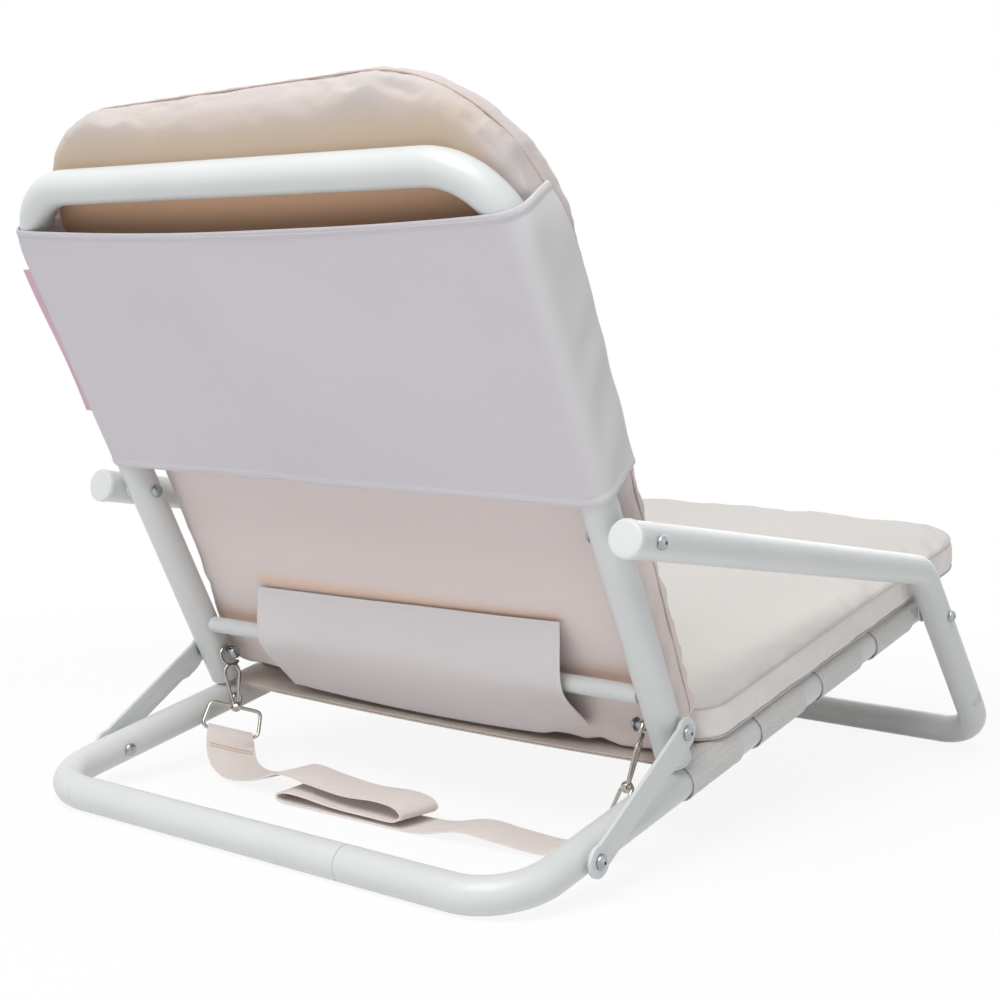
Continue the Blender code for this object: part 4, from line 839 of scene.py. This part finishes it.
def padSpot(spec, x, y, z):
    # the lower rear edge rolls down and out, then the whole pad sits a little askew
    low, high = spec["ends"]
    rear = 1 - eased((z - spec["floor"]) / (spec["side"] * crease["droopDeep"]))
    roll = max(0.0, 1 - ((x - spec["droopAt"]) / spec["droopHalf"]) ** 2) ** crease["droopShape"] * rear
    down, out = (eased((low + reach - y) / reach) for reach in crease["droopReach"])
    y, z = y + spec["droop"][0] * roll * down, z + spec["droop"][1] * roll * out
    lean = spec["askew"]
    return Vector((x - lean * (y - spec["askewFrom"]), y - lean * x * max(0.0, y) / high, z))


def noiseAt(x, y, layer):
    return noise.noise(Vector((x, y, layer)))


def bell(distance, half):
    return math.exp(-(distance / half) ** 2)


def creased(piece, spec):
    # crown, soft folds and seam puckers, then flat where it rests
    low = spec["floor"]
    midX, midY = sum(spec["across"]) / 2, sum(spec["ends"]) / 2
    halfX, halfY = ((ends[1] - ends[0]) / 2 for ends in (spec["across"], spec["ends"]))
    for vert in piece.data.vertices:
        x, y, z = vert.co
        gap = max(0.0, rimGap(spec, x, y))
        level = max(0.0, min(1.0, (z - low) / spec["side"]))
        inX, inY = (x - midX) / halfX, (y - midY) / halfY
        rise = spec["crown"] * max(0.0, 1 - abs(inX) ** 3) * max(0.0, 1 - abs(inY) ** 3) * level
        broad, fine = (noiseAt(x * a, y * b, layer) for a, b, layer in crease["folds"])
        fold = broad * fine * spec["fold"] * eased(gap / crease["foldFrom"])
        run = (x if abs(inY) > abs(inX) else y) * crease["pitch"]
        pucker = noiseAt(run, gap * crease["gapPitch"], crease["layer"] + level * crease["levelPitch"])
        pucker *= spec["pucker"] * math.exp(-gap / crease["fade"])
        z += rise + fold + pucker if level > 0.5 else -pucker * crease["rearShare"]
        away = Vector((x - midX, y - midY, 0))
        if gap < crease["wallGap"] and crease["wall"][0] < level < crease["wall"][1] and away.length > 0:
            a, b, layer = crease["wallPitch"]
            push = away.normalized() * noiseAt(run * a, level * b, layer)
            push *= spec["pucker"] * crease["wallShare"]
            x, y = x + push.x, y + push.y
        if spec["pinch"] and gap < crease["seamReach"]:
            # the seam draws the cover in, the front rolls out beyond it on the right
            step = 0.0005
            inward = Vector((rimGap(spec, x + step, y) - rimGap(spec, x - step, y),
                             rimGap(spec, x, y + step) - rimGap(spec, x, y - step), 0)).normalized()
            draw = bell(z - low - spec["seams"][0], crease["drawHalf"]) * math.exp(-gap / crease["drawFade"])
            roll = bell(z - low - crease["rollAt"], crease["rollHalf"]) * math.exp(-gap / crease["rollFade"])
            roll *= eased((-x - crease["rollFrom"]) / crease["rollEase"])
            x, y, _ = Vector((x, y, 0)) + inward * (spec["pinch"] * draw - spec["roll"] * roll)
        bulge = spec["bulge"] * max(0.0, 1 - (inX / crease["bulgeHalf"]) ** 4) * max(0.0, 1 - inY ** 4)
        swellX, swellY = crease["swellHalf"]
        swell = spec["swell"] * max(0.0, 1 - (x / swellX) ** 4)
        swell *= max(0.0, 1 - ((y - crease["swellAt"]) / swellY) ** 2)
        z -= swell * (1 - level)
        floor, ease = low - bulge - swell, spec["restEase"]
        if z < floor + ease:
            z = floor + ease * math.exp((z - floor - ease) / ease)
        vert.co = padSpot(spec, x, y, z)


def seamPath(spec, inset, z):
    low, high = spec["ends"]
    right, left = spec["across"]
    corners = {"lowRight": (right + inset, low + inset), "lowLeft": (left - inset, low + inset),
               "highLeft": (left - inset, high - inset), "highRight": (right + inset, high - inset)}
    radii = [spec["corners"][name] - inset for name in corners]
    path = []
    outline = roundedPath([(x, y, z) for x, y in corners.values()], radii, 4, True)
    for a, b in zip(outline, outline[1:] + outline[:1]):
        pieces = max(1, round((b - a).length / 0.012))
        path += [padSpot(spec, *a.lerp(b, k / pieces)) for k in range(pieces)]
    return path


def buildCushion(name, node, body, spec, place, cloth, flip, squeeze=None):
    pad = slabShape(spec)
    blownUp(pad, spec)
    applied(pad, "SUBSURF", levels=1, render_levels=1)
    creased(pad, spec)
    if squeeze:
        for vert in pad.data.vertices:
            vert.co = squeeze(*vert.co)
    pad.data.transform(place)
    if flip:
        pad.data.flip_normals()
    smoothed(pad, 60)
    settled(pad, name, body, cloth, node)
    for number, level in enumerate(spec["seams"]):
        path = seamPath(spec, spec["seamInset"], spec["floor"] + level)
        if squeeze:
            path = [squeeze(*p) for p in path]
        seam = wirePiece([place @ p for p in path], spec["welt"], True, 2)
        settled(seam, "%s_seam_%d" % (name, number + 1), body, spec["thread"])
    print("cushion sewn:", name)


# Sleeve panel across the back, wrapped round both uprights to the cushion's front seam
sleeve = {
    "low": 0.18775, "high": 0.3877, "sag": 0.006, "ahead": 0.034, "lift": 0.005, "reach": 0.0132,
    "cloth": 0.0010, "backLength": 0.4137, "bend": 0.056, "hem": 0.0042, "hemRise": 0.0005,
    "columns": 150, "plainRows": 40, "seamDeep": 0.0180, "wrap": (72, 162), "bendOut": (0.06, 0.0010),
    "proud": 0.0016, "tuck": 0.0018, "tuckTo": (0.33, 0.05), "stitchAt": 0.62, "stitchSteps": 640,
}
# front edge of its right side, (along, distance from the middle)
sleeveRight = [(0.15, 0.2325), (0.1965, 0.2330), (0.26, 0.2340), (0.30, 0.2354), (0.33, 0.2362),
               (0.352, 0.2346), (0.370, 0.2312), (0.3865, 0.2258), (0.3960, 0.2218), (0.42, 0.2090)]
# slanting pulls towards its front seam, strongest low on the right
pulls = {
    "deep": 0.0024, "from": (-0.006, 0.022), "ease": (0.027, 0.007, 0.6), "high": (0.25, 0.09, 0.7),
    "leftShare": 0.6, "slant": (150, 95), "stray": (2.0, 14, 0.3, 4.4), "hem": 0.014,
    "ripple": 0.0028, "rippleAt": (9, 6, 2.2), "rippleHalf": 0.19,
}
# what the back cushion keeps clear of: the floor tube when folded, the panel, the rear band
keepOff = {"tube": (0.0428, 0.0209, 8), "panelLow": 0.012, "panelHigh": (0.034, 0.030),
           "panelFront": (0.0045, 0.004), "panel": 0.0014, "band": 0.0008}


def rightEdge(along):
    for (a, wideA), (b, wideB) in zip(sleeveRight, sleeveRight[1:]):
        if along <= b:
            level, soft = sleeve["tuckTo"]
            inset = sleeve["tuck"] * (1 - eased((along - level) / soft))
            return wideA + (wideB - wideA) * max(0.0, (along - a) / (b - a)) - inset
    return sleeveRight[-1][1]


def heldIn(x, along, ahead):
    least, tubeAlong, bow = keepOff["tube"]
    ahead = min(ahead, least + bow * (along - tubeAlong) ** 2)
    above, aboveEase = keepOff["panelHigh"]
    front, frontEase = keepOff["panelFront"]
    held = eased((along - sleeve["low"] + keepOff["panelLow"]) / keepOff["panelLow"])
    held *= eased((sleeve["high"] + above - along) / aboveEase)
    held *= eased((sleeve["ahead"] + front - ahead) / frontEase)
    inside = keepOff["panel"]
    limit = max(x, inside - rightEdge(along)) if x < 0 else min(x, padEdge(along) - inside)
    spot = Vector((x + (limit - x) * held, along, ahead))
    lift = webTop(x) + keepOff["band"] - (backSpot(*spot) - Vector((0, *chair["rearAxis"]))).dot(railUp)
    return spot + Vector((0, railUp.dot(backRun), railUp.dot(backFront))) * max(0.0, lift)


def sleeveAlong(share, x, ahead):
    dip = sleeve["sag"] * share * max(0.0, 1 - (x / chair["railX"]) ** 2)
    forward = (ahead + sleeve["reach"]) / (sleeve["ahead"] + sleeve["reach"])
    level = sleeve["low"] + (sleeve["high"] - sleeve["low"]) * share
    return level - dip + sleeve["lift"] * forward * (1 - share)


def uprightAt(along):
    beyond = max(0.0, along - sleeve["backLength"] + sleeve["bend"])
    run = math.sqrt(sleeve["bend"] ** 2 - beyond ** 2)
    rate, most = sleeve["bendOut"]
    return chair["railX"] - sleeve["bend"] + run + min(beyond * rate, most), sleeve["bend"] / run


def padEdge(along):
    half, top, askew = backPad["across"][1], backPad["ends"][1], backPad["askew"]
    corner = backPad["corners"]["highLeft"]
    level = along / (1 - askew * half / top)
    beyond = max(0.0, level - top + corner)
    run = math.sqrt(max(0, corner ** 2 - beyond ** 2))
    return half - askew * (level - backPad["askewFrom"]) - corner + run + sleeve["proud"]


def sleeveLine(share):
    reach = sleeve["reach"]
    left, right = [], []
    for k in range(9):
        ahead = sleeve["ahead"] - (sleeve["ahead"] - sleeve["seamDeep"]) * k / 8
        along = sleeveAlong(share, chair["railX"], ahead)
        left.append((padEdge(along), along, ahead))
    for k in range(15):
        turn = math.radians(sleeve["wrap"][0] - sleeve["wrap"][1] * k / 14)
        along = sleeveAlong(share, chair["railX"], reach * math.sin(turn))
        centre, widen = uprightAt(along)
        left.append((centre + reach * widen * max(math.cos(turn), 0.0), along, reach * math.sin(turn)))
    for k in range(17):
        ahead = sleeve["ahead"] * (1 - k / 16)
        along = sleeveAlong(share, chair["railX"], ahead)
        centre, widen = uprightAt(along)
        tube = centre + reach * widen
        right.append((-tube - (rightEdge(along) - tube) * eased(ahead / sleeve["ahead"]), along, ahead))
    for k in range(1, 10):
        turn = math.radians(-10 * k)
        along = sleeveAlong(share, chair["railX"], reach * math.sin(turn))
        centre, widen = uprightAt(along)
        right.append((-centre - reach * widen * math.cos(turn), along, reach * math.sin(turn)))
    first, last = left[-1][0], right[-1][0]
    middle = []
    for k in range(1, 60):
        x = first + (last - first) * k / 60
        middle.append((x, sleeveAlong(share, x, -reach), -reach))
    return left + middle + list(reversed(right))


def walked(line, shares):
    # places at shares of the whole length, each with its run
    runs = runsAlong(line, apart)
    result, k = [], 0
    for share in shares:
        want = share * runs[-1]
        while k < len(runs) - 2 and runs[k + 1] < want:
            k += 1
        part = (want - runs[k]) / max(1e-9, runs[k + 1] - runs[k])
        result.append((Vector(line[k]).lerp(Vector(line[k + 1]), part), want))
    return result, runs[-1]


def edgeRows(length, hem, plain):
    # row places with enough of them at both hems
    close = [0, 0.0006, 0.0014, hem * 0.6, hem, hem + 0.0007, hem + 0.0025]
    inside = [close[-1] + (length - 2 * close[-1]) * k / plain for k in range(1, plain)]
    return close + inside + [length - c for c in reversed(close)]


def hemRise(spec, fromEdge):
    # a turned hem stands off the cloth, apart from its very edge
    return spec["hemRise"] if 0.0005 < fromEdge < spec["hem"] + 0.0001 else 0.0


def buildSleeve():
    tall = sleeve["high"] - sleeve["low"]
    rows = edgeRows(tall, sleeve["hem"], sleeve["plainRows"])
    shares = [k / sleeve["columns"] for k in range(sleeve["columns"] + 1)]
    table = [(distance, *walked(sleeveLine(distance / tall), shares)) for distance in rows]

    def spotAt(u, v):
        distance, line, _ = table[round(v * (len(rows) - 1))]
        column = round(u * sleeve["columns"])
        (x, along, ahead), run = line[column]
        before, after = line[max(column - 1, 0)][0], line[min(column + 1, sleeve["columns"])][0]
        way = Vector((after[0] - before[0], after[2] - before[2])).normalized()
        out = Vector((-way.y, way.x))
        fromHem = min(distance, tall - distance)
        rise = hemRise(sleeve, fromHem)
        a, b, layer = pulls["rippleAt"]
        free = max(0.0, 1 - abs(x) / pulls["rippleHalf"])
        ripple = noiseAt(x * a, along * b, layer) * pulls["ripple"] * free
        ease, easeRun, easeShare = pulls["ease"]
        high, highRun, highShare = pulls["high"]
        front = eased((ahead - pulls["from"][0]) / pulls["from"][1])
        front *= 1 - easeShare * eased((ahead - ease) / easeRun)
        strength = (1.0 if x < 0 else pulls["leftShare"]) * (1 - highShare * eased((along - high) / highRun))
        stray, pitch, *layer = pulls["stray"]
        slant = along * pulls["slant"][0] - ahead * pulls["slant"][1] + stray * noiseAt(along * pitch, *layer)
        pinch = pulls["deep"] * strength * front * (0.5 + 0.5 * math.sin(slant))
        pinch *= min(1.0, fromHem / pulls["hem"])
        shift = out * (rise + pinch + ripple)
        return backSpot(x + shift.x, along, ahead + shift.y), (run, distance)

    panel = sheetPiece(sleeve["columns"], len(rows) - 1, spotAt, sleeve["cloth"])
    settled(panel, "back_panel_sleeve", "back", "panelCloth", "back_panel")
    inHem, steps = sleeve["hem"] * sleeve["stitchAt"], sleeve["stitchSteps"]
    for label, distance in (("low", inHem), ("high", tall - inHem)):
        line, _ = walked(sleeveLine(distance / tall), [k / steps for k in range(steps + 1)])
        stitches(line, "back_panel_stitch_" + label)
    print("sleeve panel hung")


def stitches(line, name):
    # short threads along a hem, set on the cloth's outer face
    spec = {"wide": 0.00038, "tall": 0.00032, "lift": 0.0001}
    clearPick()
    verts, faces = [], []
    for k in range(2, len(line) - 4, 3):
        ends = []
        for j in (k, k + 2):
            spot, before, after = (line[n][0] for n in (j, j - 1, j + 1))
            way = Vector((after[0] - before[0], after[2] - before[2])).normalized()
            lift = sleeve["cloth"] / 2 + sleeve["hemRise"] + spec["lift"]
            ends.append(backSpot(spot[0] - way.y * lift, spot[1], spot[2] + way.x * lift))
        a, b = ends
        side = (b - a).normalized().cross(backRun).normalized()
        first = len(verts)
        for end, width in ((a, 0.5), (a.lerp(b, 0.5), 1.0), (b, 0.5)):
            for x, z in ((-1, 0), (0, 1), (1, 0), (0, -1)):
                verts.append(end + backRun * (spec["wide"] * width * x) + side * (spec["tall"] * width * z))
        for ring in (0, 4):
            for j in range(4):
                n = (j + 1) % 4
                faces.append((first + ring + j, first + ring + n, first + ring + 4 + n, first + ring + 4 + j))
        faces += [(first + 3, first + 2, first + 1, first), (first + 8, first + 9, first + 10, first + 11)]
    mesh = bpy.data.meshes.new(name)
    mesh.from_pydata(verts, [], faces)
    row = bpy.data.objects.new(name, mesh)
    bpy.context.scene.collection.objects.link(row)
    facedOut(row)
    smoothed(row, 80)
    settled(row, name, "back", "paleThread")


# Low flap: a soft tunnel sewn to the cushion above and below, held off it by the crossbar
def buildFlap():
    spec = {"left": 0.145, "right": -0.1515, "top": 0.0712, "slope": 0.0233, "low": -0.0262, "sagLow": 0.0060,
            "cornerUp": 0.0120, "bar": 0.0275, "reach": 0.0078, "pad": (0.0076, 0.0050), "cloth": 0.0012,
            "cornerFrom": (-0.100, 0.052), "stand": 0.0008, "standPitch": 46, "standShare": 0.25,
            "peak": 0.25, "hem": 0.0034, "hemRise": 0.0004, "wave": 0.0034, "waveOut": 0.35,
            "waves": ((17, 12, 6.1), (40, 22, 2.6)), "fineShare": 0.4, "inMost": -0.0004,
            "plainColumns": 71, "rows": 46, "steps": 40}
    middle, half = (spec["left"] + spec["right"]) / 2, (spec["left"] - spec["right"]) / 2

    def profile(x):
        inX = (x - middle) / half
        top = spec["top"] - spec["slope"] * x
        cornerX, cornerRun = spec["cornerFrom"]
        low = spec["low"] - spec["sagLow"] * (1 - inX * inX)
        low += spec["cornerUp"] * eased((cornerX - x) / cornerRun)
        uneven = 1 - spec["standShare"] + spec["standShare"] * math.sin(x * spec["standPitch"])
        stand = spec["stand"] * max(0.0, 1 - inX ** 4) * uneven
        line = []
        for k in range(spec["steps"] + 1):
            along = top + (low - top) * k / spec["steps"]
            reachTo = (top if along > spec["bar"] else low) - spec["bar"]
            share = min(1.0, abs((along - spec["bar"]) / reachTo))
            whole = math.hypot(1, spec["peak"])
            hump = (whole - math.hypot(share, spec["peak"])) / (whole - spec["peak"])
            sewn = (spec["pad"][0] - stand) if along > spec["bar"] else spec["pad"][1]
            line.append(Vector((x, along, sewn - (sewn + spec["reach"]) * hump)))
        return line

    columns = edgeRows(2 * half, spec["hem"], spec["plainColumns"])
    shares = [k / spec["rows"] for k in range(spec["rows"] + 1)]
    table = [(across, *walked(profile(spec["left"] - across), shares)) for across in columns]

    def spotAt(u, v):
        across, line, tall = table[round(u * (len(columns) - 1))]
        row = round((1 - v) * spec["rows"])
        (x, along, off), run = line[row]
        edge = min(across, 2 * half - across, run)
        slack = math.sin(math.pi * run / tall) ** 2
        broad, fine = (noiseAt(x * a, along * b, layer) for a, b, layer in spec["waves"])
        soft = (spec["waveOut"] + broad + spec["fineShare"] * fine) * spec["wave"] * slack
        return backSpot(x, along, off - hemRise(spec, edge) - max(soft, spec["inMost"])), (across, tall - run)

    flap = sheetPiece(len(columns) - 1, spec["rows"], spotAt, spec["cloth"])
    settled(flap, "back_flap_cloth", "back", "flapCloth", "back_flap")
    area = sum(tall for _, _, tall in table) / len(table) * 2 * half
    print("flap sewn")


# Side tag: a folded ribbon in the left seam
def buildTag():
    spec = {"low": 0.229, "high": 0.351, "width": 0.0150, "inX": 0.2352, "cloth": 0.0005, "gap": 0.00042,
            "tip": 0.00025, "off": 0.0004, "wave": 0.0011, "waves": 5.2}
    fold = [(spec["inX"] + spec["width"] * k / 10, -spec["gap"] / 2) for k in range(10)]
    tip = spec["inX"] + spec["width"]
    fold += [(tip + spec["tip"] * math.cos(t), spec["tip"] * math.sin(t)) for t in (-1.2, -0.5, 0.5, 1.2)]
    fold += [(x, -off) for x, off in reversed(fold[:10])]
    runs = runsAlong(fold)

    def spotAt(u, v):
        k = round(u * (len(fold) - 1))
        x, off = fold[k]
        along = spec["low"] + (spec["high"] - spec["low"]) * v
        wave = spec["wave"] * math.sin(v * spec["waves"]) * (x - spec["inX"]) / spec["width"]
        return backSpot(x, along, off - spec["off"] + wave), (runs[k], (spec["high"] - spec["low"]) * v)

    tag = sheetPiece(len(fold) - 1, 40, spotAt, spec["cloth"])
    settled(tag, "side_tag_ribbon", "back", "ribbon", "side_tag")
    print("tag sewn")


# Carry strap: webbing looped over both bars and stitched, folded twice on the floor
def buildStrap():
    spec = {"width": 0.040, "cloth": 0.0014, "below": 0.0030, "steps": 10, "wrap": 0.0027, "hug": 0.016,
            "double": 0.023, "seamAt": (0.0118, 0.0142), "seamShares": (-0.44, -0.2, 0, 0.2, 0.44),
            "thread": 0.0004, "gather": 0.90, "gatherRun": 0.026, "tilts": (0.8, 0.35), "air": 0.0002,
            "lift": 0.0001}
    # x as a share of the start's, how far back and up in widths, and the turn in degrees
    route = [
        (0.971, 0.105, 0.45, 36), (0.902, 0.2675, 0.1875, 26), (0.785, 0.405, 0.1, 14),
        (0.610, 0.5425, 0.2625, 5), (0.467, 0.6175, 0.5125, 2), (0.292, 0.6675, 0.4625, 1),
        (0.106, 0.705, 0.4125, 2), (-0.064, 0.73, 0.4625, 3), (-0.164, 0.7425, 0.43, 3),
        (-0.204, 0.7475, 0.295, 3), (-0.164, 0.755, 0.165, 3), (-0.042, 0.7675, 0.16, 1),
        (0.159, 0.78, 0.175, -4), (0.329, 0.7925, 0.24, -8), (0.424, 0.7925, 0.23, -9),
        (0.462, 0.7925, 0.135, -9), (0.424, 0.7925, 0.04, -8), (0.265, 0.78, 0.04, -4),
        (0.000, 0.755, 0.04, 0), (-0.265, 0.705, 0.05, 0), (-0.456, 0.63, 0.225, -3),
        (-0.610, 0.5175, 0.1625, -8), (-0.785, 0.405, 0.1, -14), (-0.902, 0.2675, 0.1875, -26),
        (-0.971, 0.105, 0.45, -36),
    ]
    base = loopBase()
    start = base - Vector((0, 0, spec["below"]))
    stations = [(start.x, start.y, start.z, strapLoop["turn"], strapLoop["tilt"])]
    for k, (s, b, h, t) in enumerate(route):
        fromEnd = min(k, len(route) - 1 - k)
        tilt = strapLoop["tilt"] * spec["tilts"][fromEnd] if fromEnd < len(spec["tilts"]) else 0.0
        stations.append((s * start.x, start.y + b * spec["width"], h * spec["width"], t, tilt))
    stations += [(-start.x, start.y, start.z, -strapLoop["turn"], strapLoop["tilt"])]
    points = [Vector(s) for s in stations]
    line = []
    for k in range(len(points) - 1):
        before, after = points[max(k - 1, 0)], points[min(k + 2, len(points) - 1)]
        a, b = points[k], points[k + 1]
        for j in range(spec["steps"]):
            t = j / spec["steps"]
            line.append(0.5 * (2 * a + (b - before) * t + (2 * before - 5 * a + 4 * b - after) * t ** 2
                               + (3 * a - before - 3 * b + after) * t ** 3))
    line.append(points[-1])
    places = [Vector(p[:3]) for p in line]
    last = len(line) - 1
    wides, norms = [], []
    for k in range(last + 1):
        way = (places[min(k + 1, last)] - places[max(k - 1, 0)]).normalized()
        square = min(1.0, min(k, last - k) / spec["steps"])
        wide = widthWay(line[k][3], line[k][4])
        wide = (wide - way * wide.dot(way) * square).normalized()
        wides.append(wide)
        norms.append(wide.cross(way).normalized())
    if norms[0].y < 0:
        norms = [-n for n in norms]
    runs = runsAlong(places, apart)

    def doubled(order, bar, flip):
        # the end layer: up behind the main layer, over the bar, and the eased start of the main layer
        inner, arc = [], []
        for k in order:
            run = runs[k] if order[0] == 0 else runs[last] - runs[k]
            if run > spec["double"]:
                break
            ease = 1 - eased(run / spec["hug"])
            gap = spec["wrap"] * ease + (spec["cloth"] + spec["air"]) * (1 - ease)
            inner.append((places[k] - norms[k] * gap * flip, wides[k]))
        k = order[0]
        down = (places[order[1]] - places[k]).normalized()
        down = (down - wides[k] * down.dot(wides[k])).normalized()
        out = (norms[k] - down * norms[k].dot(down)).normalized() * flip
        for j in range(1, 12):
            turn = math.pi * j / 12
            arc.append((bar + (out * math.cos(turn) - down * math.sin(turn)) * spec["wrap"], wides[k]))
        return inner, arc

    flipEnd = 1 if norms[last].y > 0 else -1
    innerLeft, arcLeft = doubled(list(range(last + 1)), base, 1)
    innerRight, arcRight = doubled(list(range(last, -1, -1)), Vector((-base.x, base.y, base.z)), flipEnd)
    main = []
    for k in range(last + 1):
        fromEnd = min(runs[k], runs[last] - runs[k])
        side = 1 if k < last / 2 else flipEnd
        over = spec["wrap"] * (1 - eased(fromEnd / spec["hug"])) * side
        main.append((places[k] + norms[k] * over, wides[k]))
    path = list(reversed(innerLeft)) + list(reversed(arcLeft)) + main + arcRight + innerRight
    along = runsAlong([place for place, _ in path], apart)

    def spotAt(u, v):
        k = round(v * (len(path) - 1))
        place, wide = path[k]
        run = min(along[k], along[-1] - along[k]) - spec["double"]
        gather = spec["gather"] + (1 - spec["gather"]) * eased(run / spec["gatherRun"])
        return place + wide * ((u - 0.5) * spec["width"] * gather), (u * spec["width"], along[k])

    strap = sheetPiece(12, len(path) - 1, spotAt, spec["cloth"])
    settled(strap, "carry_strap_webbing", "strap", "webbing", "carry_strap")
    for side, sign in sides.items():
        for number, at in enumerate(spec["seamAt"]):
            order = range(last + 1) if sign > 0 else range(last, -1, -1)
            flip = 1 if sign > 0 else flipEnd
            ends = []
            for share in spec["seamShares"]:
                # the same way down the cloth from the bar at every share of the width
                yarn = [main[k][0] + main[k][1] * (share * spec["width"]) for k in order]
                run, j = 0.0, 0
                while run < at:
                    j += 1
                    run += (yarn[j] - yarn[j - 1]).length
                spot = yarn[j] + (yarn[j - 1] - yarn[j]).normalized() * (run - at)
                ends.append(spot + norms[order[j]] * flip * (spec["cloth"] / 2 + spec["lift"]))
            seam = wirePiece(ends, spec["thread"], roundness=2)
            settled(seam, "carry_strap_seam_%s_%d" % (side, number + 1), "strap", "strapThread")
    print("strap laid, %.3f m long" % along[-1])


# Studio: white world, pale floor, soft key above and soft fill behind, in front and on the right
def whiteSeen(start):
    outs = start.make("ShaderNodeLightPath", {}, {}).socket.node.outputs
    camera, glossy, through = (Wire(start.tree, outs[n]) for n in (
        "Is Camera Ray", "Is Glossy Ray", "Is Transmission Ray"))
    return start.maths("MAXIMUM", start.maths("MAXIMUM", camera, glossy), through)


def emptied(tree):
    tree.nodes.clear()
    return Wire(tree)


def buildStudio():
    spec = {"world": 0.28, "floorWhite": 0.89, "floor": (0.90, 0.90, 0.90), "fade": (0.55, 1.1),
            "lamps": {"softKey": (10, (0.3, -0.4, 2.4), 2.2), "rearFill": (58, (-0.3, 1.6, 2.3), 1.8),
                      "frontFill": (8, (0.5, -2.4, 1.0), 1.6), "sideFill": (1.6, (-2.0, -0.2, 0.5), 1.2)}}
    scene = bpy.context.scene
    scene.view_settings.view_transform = "Standard"
    scene.world = bpy.data.worlds.new("studio")
    scene.world.use_nodes = True
    start = emptied(scene.world.node_tree)
    soft = start.make("ShaderNodeBackground", {}, {"Color": (0.97, 0.98, 1.0, 1), "Strength": spec["world"]})
    white = start.make("ShaderNodeBackground", {}, {"Color": (1, 1, 1, 1), "Strength": 1.0})
    both = start.make("ShaderNodeMixShader", {}, {0: whiteSeen(start), 1: soft, 2: white})
    output = start.tree.nodes.new("ShaderNodeOutputWorld")
    start.tree.links.new(both.socket, output.inputs["Surface"])
    clearPick()
    bpy.ops.mesh.primitive_plane_add(size=24, location=(0, 0, -0.0002))
    floor = bpy.context.object
    floor.name = "studioFloor"
    material = bpy.data.materials.new("studio_floor")
    material.use_nodes = True
    start = emptied(material.node_tree)
    matt = start.make("ShaderNodeBsdfDiffuse", {}, {"Color": (*spec["floor"], 1)})
    white = start.make("ShaderNodeEmission", {}, {"Color": (1, 1, 1, 1), "Strength": 1.0})
    spot = start.make("ShaderNodeTexCoord", {}, {}, 3)
    away = start.make("ShaderNodeVectorMath", {"operation": "LENGTH"}, {0: spot}, 1)
    near, far = spec["fade"]
    plain = start.make("ShaderNodeMapRange", {"interpolation_type": "SMOOTHSTEP"},
                       {0: away, 1: near, 2: far, 3: spec["floorWhite"], 4: 1.0})
    both = start.make("ShaderNodeMixShader", {}, {0: whiteSeen(start) * plain, 1: matt, 2: white})
    output = start.tree.nodes.new("ShaderNodeOutputMaterial")
    start.tree.links.new(both.socket, output.inputs["Surface"])
    floor.data.materials.append(material)
    for name, (power, place, size) in spec["lamps"].items():
        bpy.ops.object.light_add(type="AREA", location=place)
        lamp = bpy.context.object
        lamp.name = name
        lamp.data.energy = power
        lamp.data.size = size
        lamp.rotation_euler = (Vector((0, 0, 0.15)) - Vector(place)).to_track_quat("-Z", "Y").to_euler()
    print("studio lit")


buildTubes()
buildFittings()
buildLinks()
buildHooks()
buildBands()
seatPlace = Matrix.Translation(seatSpot(0, 0, 0)) @ Matrix(
    (Vector((1, 0, 0)), railRun, railUp)).transposed().to_4x4()
backPlace = Matrix.Translation(backSpot(0, 0, 0)) @ Matrix(
    (Vector((1, 0, 0)), backRun, backFront)).transposed().to_4x4()
buildCushion("seat_cushion_sewn", "seat_cushion", "seat", seatPad, seatPlace, "seatCloth", True)
buildCushion("back_cushion_sewn", "back_cushion", "back", backPad, backPlace, "backCloth", False, heldIn)
buildSleeve()
buildFlap()
buildTag()
buildStrap()
buildStudio()
